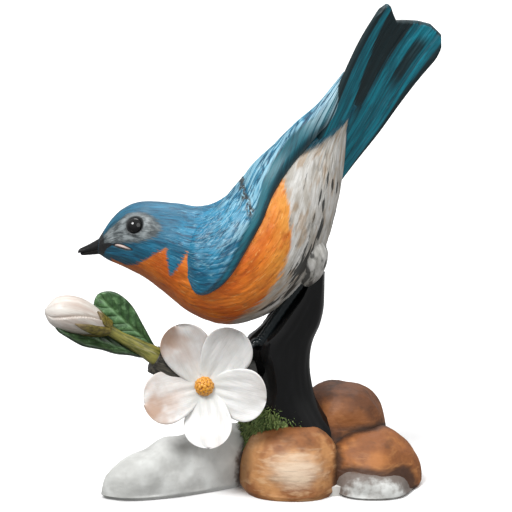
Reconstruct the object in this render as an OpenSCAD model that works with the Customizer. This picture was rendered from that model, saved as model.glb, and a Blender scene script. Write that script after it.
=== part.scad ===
// Porcelain figurine: a songbird on a glazed stump, with a five-petalled flower, a bud and a rock base.
// The frame has +Z up, its origin on the flat underside of the base and the bird's left side facing -Y.

/* [Bird] */
// Scale of the bird's girth about its spine
bird_girth = 1; // [0.95:0.01:1.05]
// Wall of the hollow slip-cast body
body_wall = 3; // [2.5:0.5:4]
// Thickness of the folded wings over the body
wing_t = 2; // [1.5:0.25:2.5]
// Thickness of the tail blade
tail_t = 2.2; // [1.8:0.2:3]
// Length of the tail's two end lobes, as a share of the drawn ones
tail_fork = 1; // [0.5:0.1:1.2]
// Diameter of an eye
eye_d = 4.8; // [4:0.2:5.6]
// Diameter of a leg
leg_d = 3.2; // [2.8:0.2:3.6]

/* [Flower and twig] */
// Scale of the open flower's petals
flower_scale = 1; // [0.9:0.02:1.06]
// Depth of the flower's cup
flower_cup = 6; // [4:0.5:7]
// Thickness of a hand-made petal
petal_t = 1.2; // [1:0.1:1.6]
// Diameter of the golden button
button_d = 6; // [5:0.5:7]
// Thickness of a leaf
leaf_t = 1.3; // [1:0.1:1.6]
// Diameter of the bud's stem at its thin end
stem_d = 3.2; // [2.8:0.2:3.6]

/* [Base] */
// Thickness of the foot plate that closes the base
plate_t = 3; // [2.5:0.5:4]
// Diameter of the firing vent in the foot plate
vent_d = 5; // [4:0.5:8]
// Height of the hollow inside the base
hollow_h = 12; // [9:1:12]

/* [Hidden] */
$fn = 48;

bird_sides = 28;   // points round the body
bird_steps = 3;    // rings between two stations of the body
body_end = 12.7;   // the body's last ring, counted in stations
// Stations along the bird: x, z, direction, half height, half width and roll about the spine
bird = [
    [-49.8,  75.6,  -6,  2.5,  2.7,  0],
    [-46.4,  77.1,  -3,  6.2,  5.6,  0],
    [-42.0,  78.0,   0,  9.1,  8.4,  0],
    [-36.0,  77.3,   2, 11.8, 10.8,  0],
    [-27.8,  74.6,  -6, 14.0, 12.8,  2],
    [-20.3,  70.9,  -3, 16.4, 14.8,  5],
    [-12.3,  69.9,   5, 18.8, 16.4,  9],
    [ -3.9,  72.8,  20, 19.1, 17.0, 13],
    [  4.2,  80.2,  35, 18.0, 16.2, 19],
    [  9.6,  89.2,  44, 15.8, 14.6, 26],
    [ 14.6,  98.2,  48, 12.1, 12.2, 36],
    [ 19.4, 106.4,  50,  8.5, 11.0, 45],
    [ 24.4, 113.8,  53,  4.8, 10.2, 52],
    [ 29.4, 121.4,  54,  2.6, 10.0, 56],
    [ 34.4, 128.9,  54,  1.8,  9.4, 58]
];
// Stations along the tail: x, z, direction, half width, roll and arch
tail = [
    [17.8,  96.4, 57,  9.4, 42, 0.4],
    [22.8, 104.9, 57, 10.1, 48, 0.8],
    [28.3, 114.1, 57, 11.2, 53, 1.4],
    [33.3, 123.2, 57, 12.3, 56, 2.2],
    [38.4, 131.7, 57, 13.3, 58, 3.0],
    [43.2, 138.4, 57, 14.1, 58, 3.6]
];
// The tail's end: share across from its right edge to its left one, and reach past the last station
tail_end = [[-1, -0.5], [-0.94, 4.4], [-0.8, 7.4], [-0.5, 8.2], [-0.2, 6.9], [0.1, 4.9], [0.3, 3.4],
    [0.5, 4.6], [0.7, 6], [0.84, 6.2], [0.94, 4.2], [1, 0.5]];

// ---- shared geometry ----

// Catmull-Rom curve through the rows of v, t counted in rows
function along(v, t) = let(n = len(v) - 1, i = max(0, min(floor(t), n - 1)), f = t - i,
    a = v[max(i - 1, 0)], b = v[i], c = v[i + 1], d = v[min(i + 2, n)])
    b + ((c - a) * f + (2 * a - 5 * b + 4 * c - d) * f * f + (3 * b - a - 3 * c + d) * f * f * f) / 2;
function unit(v) = v / norm(v);
function mid(v) = [for (k = [0:2]) let(c = [for (p = v) p[k]]) (c * [for (p = v) 1]) / len(v)];
function smooth(a, b, x) = let(t = max(0, min(1, (x - a) / (b - a)))) t * t * (3 - 2 * t);

// A closed skin over rings that run counter-clockwise about the way they follow each other
module skin(rings) {
    n = len(rings[0]);
    m = len(rings);
    last = (m - 1) * n;
    pole = m * n;
    polyhedron(
        concat([for (r = rings) each r], [mid(rings[0]), mid(rings[m - 1])]),
        concat(
            [for (i = [0:m - 2], j = [0:n - 1]) let(a = i * n + j, d = i * n + (j + 1) % n)
                each [[a, a + n, d + n], [a, d + n, d]]],
            [for (j = [0:n - 1]) [pole, j, (j + 1) % n]],
            [for (j = [0:n - 1]) [pole + 1, last + (j + 1) % n, last + j]]
        )
    );
}

// A closed sheet between two grids of points, the top one on the side of rows x columns
module sheet(top, under) {
    m = len(top);
    n = len(top[0]);
    k = m * n;
    polyhedron(
        concat([for (r = top) each r], [for (r = under) each r]),
        concat(
            [for (i = [0:m - 2], j = [0:n - 2]) let(a = i * n + j, b = a + 1, c = b + n, d = a + n)
                each [[a, b, c], [a, c, d], [a + k, c + k, b + k], [a + k, d + k, c + k]]],
            [for (i = [0:m - 2], e = [0, 1]) let(p = i * n + e * (n - 1), q = p + n)
                each (e == 0 ? [[p, q, q + k], [p, q + k, p + k]] : [[q, p, p + k], [q, p + k, q + k]])],
            [for (j = [0:n - 2], e = [0, 1]) let(p = e * (m - 1) * n + j, q = p + 1)
                each (e == 0 ? [[q, p, p + k], [q, p + k, q + k]] : [[p, q, q + k], [p, q + k, p + k]])]
        )
    );
}

// A round limb along a few points [x, y, z, radius]
module limb(path, steps = 4, sides = 12) {
    n = len(path) - 1;
    rows = [for (i = [0:n * steps]) along(path, i / steps)];
    xyz = [for (r = rows) [r[0], r[1], r[2]]];
    skin([for (i = [0:len(rows) - 1])
        let(way = unit(xyz[min(i + 1, len(rows) - 1)] - xyz[max(i - 1, 0)]),
            side = unit(cross([0.2, 1, 0.3], way)), up = cross(side, way))
        [for (j = [0:sides - 1]) let(a = 360 * j / sides)
            xyz[i] + rows[i][3] * (up * cos(a) + side * sin(a))]]);
}

// ---- bird ----

// Point of the bird's surface: t in stations, a round the body from its back to its left side, keep the
// share of the section that is left where the body tapers under the tail
function bird_point(t, a, out = 0, keep = 1) = let(s = along(bird, t),
    up0 = [-sin(s[2]), 0, cos(s[2])],
    up = up0 * cos(s[5]) + [0, sin(s[5]), 0],
    side = [0, -cos(s[5]), 0] + up0 * sin(s[5]),
    high = s[3] * bird_girth + out, wide = s[4] * bird_girth + out)
    [s[0], 0, s[1]] + up * high * (keep * cos(a) - (1 - keep) * 0.3) + side * wide * keep * sin(a);

module body_shell(t0, t1, out, sides, steps) {
    count = round((t1 - t0) * steps);
    skin([for (i = [0:count]) let(t = t0 + (t1 - t0) * i / count)
        [for (j = [0:sides - 1]) bird_point(t, 360 * j / sides, out, 1 - 0.86 * smooth(10, body_end, t))]]);
}

module bird_shape() { body_shell(0, body_end, 0, bird_sides, bird_steps); }
module bird_body() {
    color("steelblue") resize([0, 0, 0]) difference() {
        bird_shape();
        body_shell(2, 10.6, -body_wall, 16, 2);
        // firing vent under the belly, covered by the stump
        translate([14, 0, 60]) rotate([0, -35, 0]) cylinder(h = 20, d = 4, $fn = 16);
    }
}

// Lower and upper edge of a folded wing and its swell, by station from the shoulder to the tip
wing_edges = [
    [ 4.75, 104,  62, 0.3],
    [ 5.15, 122,  42, 0.9],
    [ 5.9,  112,  26, 1.2],
    [ 7.0,   92,  14, 1.2],
    [ 8.0,   86,   8, 1.1],
    [ 9.0,   86,   6, 1.4],
    [10.0,   95,   8, 1.6],
    [11.0,  114,  18, 1.5],
    [12.0,  136,  36, 1.1],
    [12.7,  128,  52, 0.8],
    [13.35, 100,  72, 0.5]
];
module wing(hand) {
    rows = [for (i = [0:30]) along(wing_edges, i / 3)];
    // the far wing's tip stays on the back of the rolled tail
    function spot(r, v, out) = let(low = hand < 0 && r[0] > 10 ? min(r[1], 88) : r[1], a = low + (r[2] - low) * v)
        bird_point(r[0], hand * a, out);
    top = [for (r = rows) [for (j = [0:10]) let(v = j / 10)
        spot(r, v, wing_t * r[3] * (0.45 + 0.55 * sin(180 * min(1, v * 1.4 + 0.12))))]];
    under = [for (r = rows) [for (j = [0:10]) spot(r, j / 10, 0)]];
    color("royalblue") if (hand > 0) sheet(top, under); else sheet(under, top);
}
module wing_left() { wing(1); }
module wing_right() { wing(-1); }

// Point of the tail: u along it, v from its right edge to its left one, h above its middle surface
function tail_point(u, v, h) = let(reach = len(tail) - 1, s = along(tail, u * reach),
    way = [cos(s[2]), 0, sin(s[2])], up0 = [-sin(s[2]), 0, cos(s[2])],
    up = up0 * cos(s[4]) + [0, sin(s[4]), 0], side = [0, -cos(s[4]), 0] + up0 * sin(s[4]),
    lobe = tail_fork * lookup(v, tail_end) * u * u)
    [s[0], 0, s[1]] + way * lobe + side * s[3] * v + up * (h + s[5] * (1 - v * v));
module tail() {
    rows = [for (i = [0:12]) i / 12];
    cols = [for (j = [-10:10]) j / 10];
    color("teal") resize([0, 0, 0]) difference() {
        sheet([for (u = rows) [for (v = cols) tail_point(u, -v, tail_t / 2)]],
            [for (u = rows) [for (v = cols) tail_point(u, -v, -tail_t / 2)]]);
        bird_shape();
    }
}

beak = [[-46.6, 0, 75.7, 3.4], [-50, 0, 74.8, 2.4], [-53.2, 0, 73.9, 1.6], [-56.3, 0, 73.2, 0.95]];
module beak_half(turn) {
    // the gape's plane splits the beak into its two mandibles
    difference() {
        intersection() {
            limb(beak, 3, 16);
            translate([-53, 0, 74]) rotate([0, turn - 14, 0]) translate([-8, -5, 0]) cube([16, 10, 6]);
        }
        bird_shape();
    }
}
module beak_upper() { color("dimgray") resize([0, 0, 0]) beak_half(0); }
module beak_lower() { color("dimgray") resize([0, 0, 0]) beak_half(180); }

eye_at = [2.72, 60];   // station and angle from the crown
module eye(hand) {
    spot = bird_point(eye_at[0], hand * eye_at[1], -0.2);
    way = unit(bird_point(eye_at[0], hand * eye_at[1], 1) - bird_point(eye_at[0], hand * eye_at[1], 0));
    translate(spot) rotate([0, acos(way[2]), atan2(way[1], way[0])])
        rotate_extrude() intersection() {
            scale([1, 0.62]) circle(d = eye_d);
            square(eye_d);
        }
}
module eye_left() { color("black") eye(1); }
module eye_right() { color("black") eye(-1); }

module thigh(hand) {
    difference() {
        limb([[14.6, -hand * 6, 79, 2.8], [15.4, -hand * 6.6, 74, 4.9], [14.8, -hand * 6.2, 69, 4],
            [12.6, -hand * 5.6, 65, 2.2]], 3, 14);
        bird_shape();
    }
}
module thigh_left() { color("white") resize([0, 0, 0]) thigh(1); }
module thigh_right() { color("white") resize([0, 0, 0]) thigh(-1); }

leg_top = [12, 5.6, 65];
leg_foot = [0, 5, 46.6];
module leg(hand) {
    flip = [1, -hand, 1];
    a = [for (k = [0:2]) leg_top[k] * flip[k]];
    b = [for (k = [0:2]) leg_foot[k] * flip[k]];
    way = unit(b - a);
    translate(a) rotate([0, acos(way[2]), atan2(way[1], way[0])]) cylinder(h = norm(b - a), d = leg_d);
}
module leg_left() { color("black") leg(1); }
module leg_right() { color("black") leg(-1); }

module foot(hand) {
    y = -hand * leg_foot[1];
    toes = [[-3.8, -2.4, 44.4], [-4.4, 0, 44], [-3.8, 2.4, 44.4], [5.2, 0.6, 50.2]];
    for (toe = toes) hull() {
        translate([leg_foot[0], y, leg_foot[2] - 0.6]) sphere(d = leg_d + 0.4, $fn = 14);
        translate([toe[0], y + toe[1], toe[2]]) sphere(d = 1.6, $fn = 10);
    }
}
module foot_left() { color("black") resize([0, 0, 0]) foot(1); }
module foot_right() { color("black") resize([0, 0, 0]) foot(-1); }

// ---- stump, twig and leaves ----

// Stations up the stump: height, left edge, right edge, middle and half depth
stump_rows = [
    [ 9,  -4, 27,  2,  9.4],
    [15,  -3, 25,  1,  9],
    [21,  -2, 20.4, 0,  8.4],
    [28,  -2, 16.6, 0,  8],
    [35,  -3, 15.2, 0,  8],
    [41,  -4.6, 15.2, 0,  8.2],
    [46,  -4.4, 16.2, 0,  8],
    [51,   0.6, 18.4, 0,  7.4],
    [56,   5.2, 19.6, 0,  6.8],
    [61,  10, 19.8, 0,  6],
    [67, 13.6, 19.8, 0,  5]
];
module stump() {
    color("black") resize([0, 0, 0]) difference() {
        skin([for (i = [0:20]) let(s = along(stump_rows, i / 2),
            half = (s[2] - s[1]) / 2, x = (s[1] + s[2]) / 2)
            [for (j = [0:27]) let(a = 360 * j / 28, ridge = 1 + 0.05 * cos(5 * a + 3 * s[0]))
                [x + half * ridge * cos(a), s[3] + s[4] * ridge * sin(a), s[0]]]]);
        bird_shape();
    }
}

module twig() {
    color("rosybrown") limb([[-2, -4, 37, 3.4], [-10, -6, 36.4, 3.2], [-20, -7.6, 37.2, 3.4],
        [-27, -9, 39.2, 3.8], [-32.6, -10.4, 42.2, 3.9]], 3, 14);
}
module stem() {
    r = stem_d / 2;
    color("olive") limb([[-31.6, -10.8, 43, r + 1.2], [-36.6, -12.2, 46.2, r + 0.7],
        [-42, -14, 49.6, r + 0.1], [-47.4, -15.8, 53.4, r]], 3, 12);
}

// A leaf from its foot to its tip: half width by length, bow of the midrib and fold of the blade
module leaf(foot, tip, out, wide, bow, fold) {
    way = tip - foot;
    side = unit(cross(unit(way), out));
    face = unit(cross(side, unit(way)));
    function spot(u, v, h) = let(w = 2.2 * wide * pow(u + 0.04, 1.3) * pow(1.01 - pow(u, 2.5), 0.6))
        foot + way * u + side * w * v + face * (h + bow * sin(180 * u) + fold * abs(v) * w / wide);
    rows = [for (i = [0:12]) i / 12];
    cols = [for (j = [-4:4]) j / 4];
    sheet([for (u = rows) [for (v = cols) spot(u, -v, leaf_t / 2)]],
        [for (u = rows) [for (v = cols) spot(u, -v, -leaf_t / 2)]]);
}
module leaf_upper() {
    color("seagreen") leaf([-32, -8.4, 45], [-49.4, -12.6, 62.6], [-0.2, -1, 0.2], 4.9, 1.2, 1);
}
module leaf_lower() {
    color("olivedrab") leaf([-34, -11.4, 42.6], [-61.4, -21, 54.8], [0.3, -0.7, 1], 4, -0.6, 1);
}

bud_path = [[-45.6, -15, 52.8, 1.7], [-48.6, -16, 54, 3.2], [-51.6, -17, 55.6, 4.6],
    [-55.5, -18, 57.2, 5.5], [-59.5, -19, 58.2, 5.2], [-62.6, -19.7, 58.7, 3.5], [-64.4, -20.2, 59, 1]];
module bud() { color("ivory") limb(bud_path, 3, 20); }
module bud_sepals() {
    base = [-46.8, -15.4, 53.2];
    color("olivedrab") for (k = [0:4]) let(a = 72 * k + 20)
        translate(base) rotate([0, -68, 16]) rotate(a) translate([1.9, 0, -1]) rotate([0, 28, 0])
            scale([0.5, 1, 1]) cylinder(h = 6.4, r1 = 2, r2 = 0.4, $fn = 16);
}

// ---- flower ----

flower_at = [-17.2, -12.6, 34.2];
// Direction, half width and reach of each petal, clockwise from the upper left
petals = [[115, 7.5, 20.4], [56, 7.6, 20.5], [-11, 8.1, 19.6], [-83, 7.5, 18.4], [197, 8, 18.4]];
module on_flower() { translate(flower_at) rotate([80, 0, -4]) children(); }
module petal(k) {
    turn = petals[k][0];
    wide = petals[k][1] * flower_scale;
    far = petals[k][2] * flower_scale;
    belly = 0.6;   // where the petal is widest
    // each row's place along the petal and its share of the half width, ending in a round tip
    rows = concat([for (i = [0:4]) let(u = i / 5) [belly * u, 0.34 + 0.66 * sin(90 * u)]],
        [for (i = [0:6]) let(a = 80 * i / 6) [belly + (1 - belly) * sin(a), cos(a)]]);
    cols = [for (j = [-5:5]) j / 5];
    function spot(row, v, h) = let(u = row[0])
        [2.4 + (far - 2.4) * u, wide * row[1] * v,
         h + flower_cup * pow(u, 1.7) + 1.6 * v * v * u + 1.1 * v * smooth(0, 0.4, u) - 0.8 * pow(u, 6)];
    color("snow") on_flower() rotate(turn)
        sheet([for (row = rows) [for (v = cols) spot(row, v, petal_t / 2)]],
            [for (row = rows) [for (v = cols) spot(row, v, -petal_t / 2)]]);
}
module petal_1() { petal(0); }
module petal_2() { petal(1); }
module petal_3() { petal(2); }
module petal_4() { petal(3); }
module petal_5() { petal(4); }

module flower_button() {
    // a beaded dome: eight beads round it and rows of them up its side
    color("goldenrod") on_flower() skin([for (i = [0:12]) let(up = 90 * i / 12.4, swell = 1 + 0.09 * sin(6 * up - 60))
        [for (j = [0:31]) let(a = 360 * j / 32, r = button_d / 2 * swell * (1 + 0.07 * cos(8 * a + 6 * up)))
            [r * cos(up) * cos(a), r * cos(up) * sin(a), 0.4 + button_d * 0.48 * sin(up)]]]);
}
module calyx() {
    color("olivedrab") on_flower() translate([0, 0, -5.6])
        cylinder(h = 5, r1 = 1.6, r2 = 3.4);
}

// ---- base ----

// A rounded rock: plan centre, half lengths, turn, height, rise of its top along its length, lean of
// its top and squareness
module rock(at, half, turn, high, rise = 0, lean = [0, 0], square = 2.6) {
    levels = [0, 0.06, 0.3, 0.52, 0.7, 0.84, 0.93, 0.985];
    skin([for (t = levels) [for (j = [0:27]) let(a = 360 * j / 28,
        r = t < 0.1 ? 0.965 + 0.6 * t : pow(1 - pow(t, square), 1 / square),
        lump = 1 + 0.03 * sin(3 * a + turn) + 0.02 * sin(5 * a + 40),
        x = half[0] * r * lump * cos(a), y = half[1] * r * lump * sin(a),
        z = high * t * (1 + rise * x / half[0]))
        [at[0] + x * cos(turn) - y * sin(turn) + lean[0] * t,
         at[1] + x * sin(turn) + y * cos(turn) + lean[1] * t, z]]]);
}
module grey_lump() { rock([-20.4, -2], [32.6, 10.6], 31, 17.4, 0.24, [0, -0.5]); }
module front_lump() { rock([9.4, -8.4], [16, 13], 0, 20.8, 0, [-0.5, 2], 2.8); }
module back_lump() { rock([25.8, 11.4], [15.1, 15.8], 21, 29.8, 0, [0, -1], 3); }
module right_lump() { rock([34.4, -1.5], [16, 16.4], -12, 18, 0.02, [-1, 3], 2.4); }
module white_lump() { rock([34.6, -8.6], [13.2, 11.4], 8, 9.6, 0, [-1, 2], 2.8); }
module moss_lump() { rock([6.4, 8], [17, 13.8], 90, 26, -0.16, [0, -2.4], 3); }

// The one hollow that the castings of the base share
module hollow() {
    module arm(p, h) { translate([p[0], p[1], -1]) cylinder(h = h + 1, r = p[2], $fn = 20); }
    hull() {
        for (p = [[-36, -11.2, 3.5], [-8, 5.4, 6]]) arm(p, hollow_h * 0.4);
        for (p = [[-28, -6.4, 2], [-8, 6, 4.6]]) arm(p, hollow_h * 0.8);
    }
    hull() {
        for (p = [[9.8, -9, 8], [31.6, -4, 8.6], [26, 11, 9], [4, 8, 8.6]]) arm(p, hollow_h * 0.5);
        for (p = [[11, -7, 5], [27, 6, 6], [5, 7, 6]]) arm(p, hollow_h);
    }
}
module carve() {
    resize([0, 0, 0]) difference() {
        children(0);
        hollow();
        children([1:$children - 1]);
    }
}
module rock_front() { color("peru") carve() { front_lump(); stump(); } }
module rock_grey() { color("lightgray") carve() { grey_lump(); front_lump(); stump(); } }
module rock_white() { color("whitesmoke") carve() { white_lump(); front_lump(); } }
module rock_right() { color("burlywood") carve() { right_lump(); front_lump(); white_lump(); stump(); } }
module rock_back() { color("saddlebrown") carve() { back_lump(); right_lump(); stump(); } }
module moss() {
    color("yellowgreen") carve() {
        moss_lump(); front_lump(); grey_lump(); back_lump(); right_lump(); white_lump(); stump();
    }
}
module foot_plate() {
    color("white") difference() {
        intersection() {
            hollow();
            translate([-60, -40, 0]) cube([120, 80, plate_t]);
        }
        translate([18, 6, -1]) cylinder(h = plate_t + 2, d = vent_d);
    }
}

bird_body();
wing_left();
wing_right();
tail();
beak_upper();
beak_lower();
eye_left();
eye_right();
thigh_left();
thigh_right();
leg_left();
leg_right();
foot_left();
foot_right();
stump();
twig();
stem();
leaf_upper();
leaf_lower();
bud();
bud_sepals();
calyx();
petal_1();
petal_2();
petal_3();
petal_4();
petal_5();
flower_button();
moss();
rock_grey();
rock_front();
rock_back();
rock_right();
rock_white();
foot_plate();
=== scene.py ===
import math

import bpy
import numpy as np
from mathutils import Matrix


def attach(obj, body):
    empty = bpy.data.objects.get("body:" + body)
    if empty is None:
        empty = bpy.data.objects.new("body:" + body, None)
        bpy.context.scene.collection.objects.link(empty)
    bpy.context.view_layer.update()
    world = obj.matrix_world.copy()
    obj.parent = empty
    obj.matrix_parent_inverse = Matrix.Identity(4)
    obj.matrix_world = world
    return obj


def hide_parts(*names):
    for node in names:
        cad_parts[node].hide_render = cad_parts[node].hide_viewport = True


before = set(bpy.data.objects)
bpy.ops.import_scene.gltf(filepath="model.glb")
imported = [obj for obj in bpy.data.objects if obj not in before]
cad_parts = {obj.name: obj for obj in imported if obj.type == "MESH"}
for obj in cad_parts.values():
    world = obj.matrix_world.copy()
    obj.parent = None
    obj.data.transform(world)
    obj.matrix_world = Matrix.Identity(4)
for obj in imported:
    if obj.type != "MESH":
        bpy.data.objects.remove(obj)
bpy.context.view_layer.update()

MM = 0.001

# ---- stations of the shapes ----

# the bird: x, z, direction, half height, half width and roll about the spine
BIRD = [
    [-49.8, 75.6, -6, 2.5, 2.7, 0], [-46.4, 77.1, -3, 6.2, 5.6, 0], [-42.0, 78.0, 0, 9.1, 8.4, 0],
    [-36.0, 77.3, 2, 11.8, 10.8, 0], [-27.8, 74.6, -6, 14.0, 12.8, 2], [-20.3, 70.9, -3, 16.4, 14.8, 5],
    [-12.3, 69.9, 5, 18.8, 16.4, 9], [-3.9, 72.8, 20, 19.1, 17.0, 13], [4.2, 80.2, 35, 18.0, 16.2, 19],
    [9.6, 89.2, 44, 15.8, 14.6, 26], [14.6, 98.2, 48, 12.1, 12.2, 36], [19.4, 106.4, 50, 8.5, 11.0, 45],
    [24.4, 113.8, 53, 4.8, 10.2, 52], [29.4, 121.4, 54, 2.6, 10.0, 56],
    [34.4, 128.9, 54, 1.8, 9.4, 58],
]
BODY_END = 12.7
# the folded wing: station, lower edge, upper edge (degrees from the crown) and swell
WING = [
    [4.75, 104, 62, 0.3], [5.15, 122, 42, 0.9], [5.9, 112, 26, 1.2], [7.0, 92, 14, 1.2], [8.0, 86, 8, 1.1],
    [9.0, 86, 6, 1.4], [10.0, 95, 8, 1.6], [11.0, 114, 18, 1.5], [12.0, 136, 36, 1.1], [12.7, 128, 52, 0.8],
    [13.35, 100, 72, 0.5],
]
WING_T = 2.0
# past this station the far wing's lower edge stays above this angle
FAR_TIP_FROM, FAR_TIP_LOW = 10, 88
# the tail: x, z, direction, half width, roll and arch
TAIL = [
    [17.8, 96.4, 57, 9.4, 42, 0.4], [22.8, 104.9, 57, 10.1, 48, 0.8], [28.3, 114.1, 57, 11.2, 53, 1.4],
    [33.3, 123.2, 57, 12.3, 56, 2.2], [38.4, 131.7, 57, 13.3, 58, 3.0], [43.2, 138.4, 57, 14.1, 58, 3.6],
]
# its end: share across from the right edge to the left one, and how far the lobes reach past the last station
TAIL_END = [[-1.0, -0.5], [-0.94, 4.4], [-0.8, 7.4], [-0.5, 8.2], [-0.2, 6.9], [0.1, 4.9], [0.3, 3.4],
            [0.5, 4.6], [0.7, 6.0], [0.84, 6.2], [0.94, 4.2], [1.0, 0.5]]
TAIL_T = 2.2
# the beak's centre line with its radius
BEAK = [[-46.6, 0, 75.7, 3.4], [-50.0, 0, 74.8, 2.4], [-53.2, 0, 73.9, 1.6], [-56.3, 0, 73.2, 0.95]]
EYE_AT, EYE_R = (2.72, 60), 2.4
THIGH = [[14.6, 6, 79, 2.8], [15.4, 6.6, 74, 4.9], [14.8, 6.2, 69, 4.0], [12.6, 5.6, 65, 2.2]]
LEG_TOP, LEG_FOOT, LEG_D = (12.6, 5.7, 66), (0, 5, 46.6), 3.2
TOES = [[-3.8, -2.4, 44.4], [-4.4, 0, 44], [-3.8, 2.4, 44.4], [5.2, 0.6, 50.2]]
# the stump: height, left edge, right edge, middle and half depth
STUMP = [
    [9, -4, 27, 2, 9.4], [15, -3, 25, 1, 9], [21, -2, 20.4, 0, 8.4], [28, -2, 16.6, 0, 8],
    [35, -3, 15.2, 0, 8], [41, -4.6, 15.2, 0, 8.2], [46, -4.4, 16.2, 0, 8], [51, 0.6, 18.4, 0, 7.4],
    [56, 5.2, 19.6, 0, 6.8], [61, 10, 19.8, 0, 6], [67, 13.6, 19.8, 0, 5],
]
TWIG = [[-2, -4, 37, 3.4], [-10, -6, 36.4, 3.2], [-20, -7.6, 37.2, 3.4], [-27, -9, 39.2, 3.8],
        [-32.6, -10.4, 42.2, 3.9]]
STEM = [[-31.6, -10.8, 43.0, 2.8], [-36.6, -12.2, 46.2, 2.3], [-42, -14, 49.6, 1.7],
        [-47.4, -15.8, 53.4, 1.6]]
BUD = [[-45.6, -15.0, 52.8, 1.7], [-48.6, -16.0, 54.0, 3.2], [-51.6, -17.0, 55.6, 4.6],
       [-55.5, -18.0, 57.2, 5.5], [-59.5, -19.0, 58.2, 5.2], [-62.6, -19.7, 58.7, 3.5],
       [-64.4, -20.2, 59.0, 1.0]]
FLOWER_AT = (-17.2, -12.6, 34.2)
FLOWER_CUP, PETAL_T, BUTTON_D = 6.0, 1.2, 6.0
# each petal's direction, half width and reach
PETALS = [[115, 7.5, 20.4], [56, 7.6, 20.5], [-11, 8.1, 19.6], [-83, 7.5, 18.4], [197, 8.0, 18.4]]


# ---- numbers ----

def along(rows, t):
    """Catmull-Rom curve through rows, at t counted in rows."""
    rows, t = np.asarray(rows, float), np.asarray(t, float)
    last = len(rows) - 1
    i = np.clip(np.floor(t).astype(int), 0, last - 1)
    f = (t - i)[..., None]
    a, b, c, d = rows[np.maximum(i - 1, 0)], rows[i], rows[i + 1], rows[np.minimum(i + 2, last)]
    return b + ((c - a) * f + (2 * a - 5 * b + 4 * c - d) * f**2 + (3 * b - a - 3 * c + d) * f**3) / 2


def smooth(a, b, x):
    t = np.clip((np.asarray(x, float) - a) / (b - a), 0, 1)
    return t * t * (3 - 2 * t)


def unit(v):
    v = np.asarray(v, float)
    return v / (np.linalg.norm(v, axis=-1, keepdims=True) + 1e-12)


def sin(a):
    return np.sin(np.radians(a))


def cos(a):
    return np.cos(np.radians(a))


LATTICE = np.random.RandomState(11).rand(32, 32, 32) * 2 - 1


def noise(p, size, seed=0):
    """Smooth noise from -1 to 1 at the points p, with lumps of that size, one number or one for each axis."""
    q = np.asarray(p, float) / np.asarray(size, float) + seed * 5.37
    i = np.floor(q).astype(int)
    f = q - i
    f = f**3 * (f * (6 * f - 15) + 10)
    total = 0
    for dx in (0, 1):
        for dy in (0, 1):
            for dz in (0, 1):
                share = (f[..., 0] if dx else 1 - f[..., 0]) * (f[..., 1] if dy else 1 - f[..., 1])
                share = share * (f[..., 2] if dz else 1 - f[..., 2])
                total = total + share * LATTICE[(i[..., 0] + dx) % 32, (i[..., 1] + dy) % 32,
                                                (i[..., 2] + dz) % 32]
    return total


def ridges(p, size, seed=0):
    """Rounded ridges with thin valleys, from 0 to 1."""
    return np.clip(np.abs(noise(p, size, seed)) * 2.2, 0, 1) ** 0.7


def inside(outline, x, y):
    """Signed distance of the points x, y to an outline, positive inside it."""
    poly = np.asarray(outline, float)
    best = np.full(x.shape, 1e9)
    odd = np.zeros(x.shape, bool)
    for (ax, ay), (bx, by) in zip(poly, np.roll(poly, -1, 0)):
        dx, dy = bx - ax, by - ay
        h = np.clip(((x - ax) * dx + (y - ay) * dy) / (dx * dx + dy * dy + 1e-12), 0, 1)
        best = np.minimum(best, np.hypot(x - ax - h * dx, y - ay - h * dy))
        if ay != by:
            odd ^= ((ay > y) != (by > y)) & (x < dx * (y - ay) / (by - ay) + ax)
    return np.where(odd, best, -best)


# ---- grids and meshes ----

def grid_normals(grid, wrap=False):
    """Unit normals of a grid of points, on the side of rows x columns; wrap closes each row."""
    if wrap:
        across = np.roll(grid, -1, 1) - np.roll(grid, 1, 1)
    else:
        across = np.gradient(grid, axis=1)
    return unit(np.cross(np.gradient(grid, axis=0), across))


def quads(m, n, wrap=False, start=0):
    """Faces of an m by n grid of vertices."""
    i, j = np.meshgrid(np.arange(m - 1), np.arange(n if wrap else n - 1), indexing="ij")
    a = start + i * n + j
    b = start + i * n + (j + 1) % n
    return np.stack([a, b, b + n, a + n], -1).reshape(-1, 4).tolist()


def add_piece(name, points, faces, fields, paint, nodes, slot):
    """A mesh piece that stands for CAD nodes, with its fields stored for its paint. Points are in mm."""
    mesh = bpy.data.meshes.new(name)
    points = np.asarray(points, float).reshape(-1, 3)
    tri = np.array([[f[0], f[1], f[2]] for f in faces] + [[f[0], f[2], f[3]] for f in faces if len(f) == 4])
    corners = points[tri]
    volume = (corners[:, 0] * np.cross(corners[:, 1], corners[:, 2])).sum()
    if volume < 0:
        faces = [f[::-1] for f in faces]
    mesh.from_pydata((points * MM).tolist(), [], faces)
    mesh.validate()
    mesh.update()
    mesh.shade_smooth()
    for key, value in {"flow": points, **fields}.items():
        value = np.asarray(value, float)
        vector = value.size == points.size
        made = mesh.attributes.new(key, "FLOAT_VECTOR" if vector else "FLOAT", "POINT")
        made.data.foreach_set("vector" if vector else "value", value.ravel())
    mesh.materials.append(paint)
    piece = bpy.data.objects.new(name, mesh)
    bpy.context.scene.collection.objects.link(piece)
    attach(piece, "root")
    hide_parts(*([nodes] if isinstance(nodes, str) else nodes))
    return piece


def skin(grid):
    """Points and faces of a closed skin over a grid of rings."""
    m, n = grid.shape[:2]
    points = np.concatenate([grid.reshape(-1, 3), [grid[0].mean(0), grid[-1].mean(0)]])
    faces = quads(m, n, True)
    faces += [[m * n, (j + 1) % n, j] for j in range(n)]
    faces += [[m * n + 1, (m - 1) * n + j, (m - 1) * n + (j + 1) % n] for j in range(n)]
    return points, faces


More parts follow.
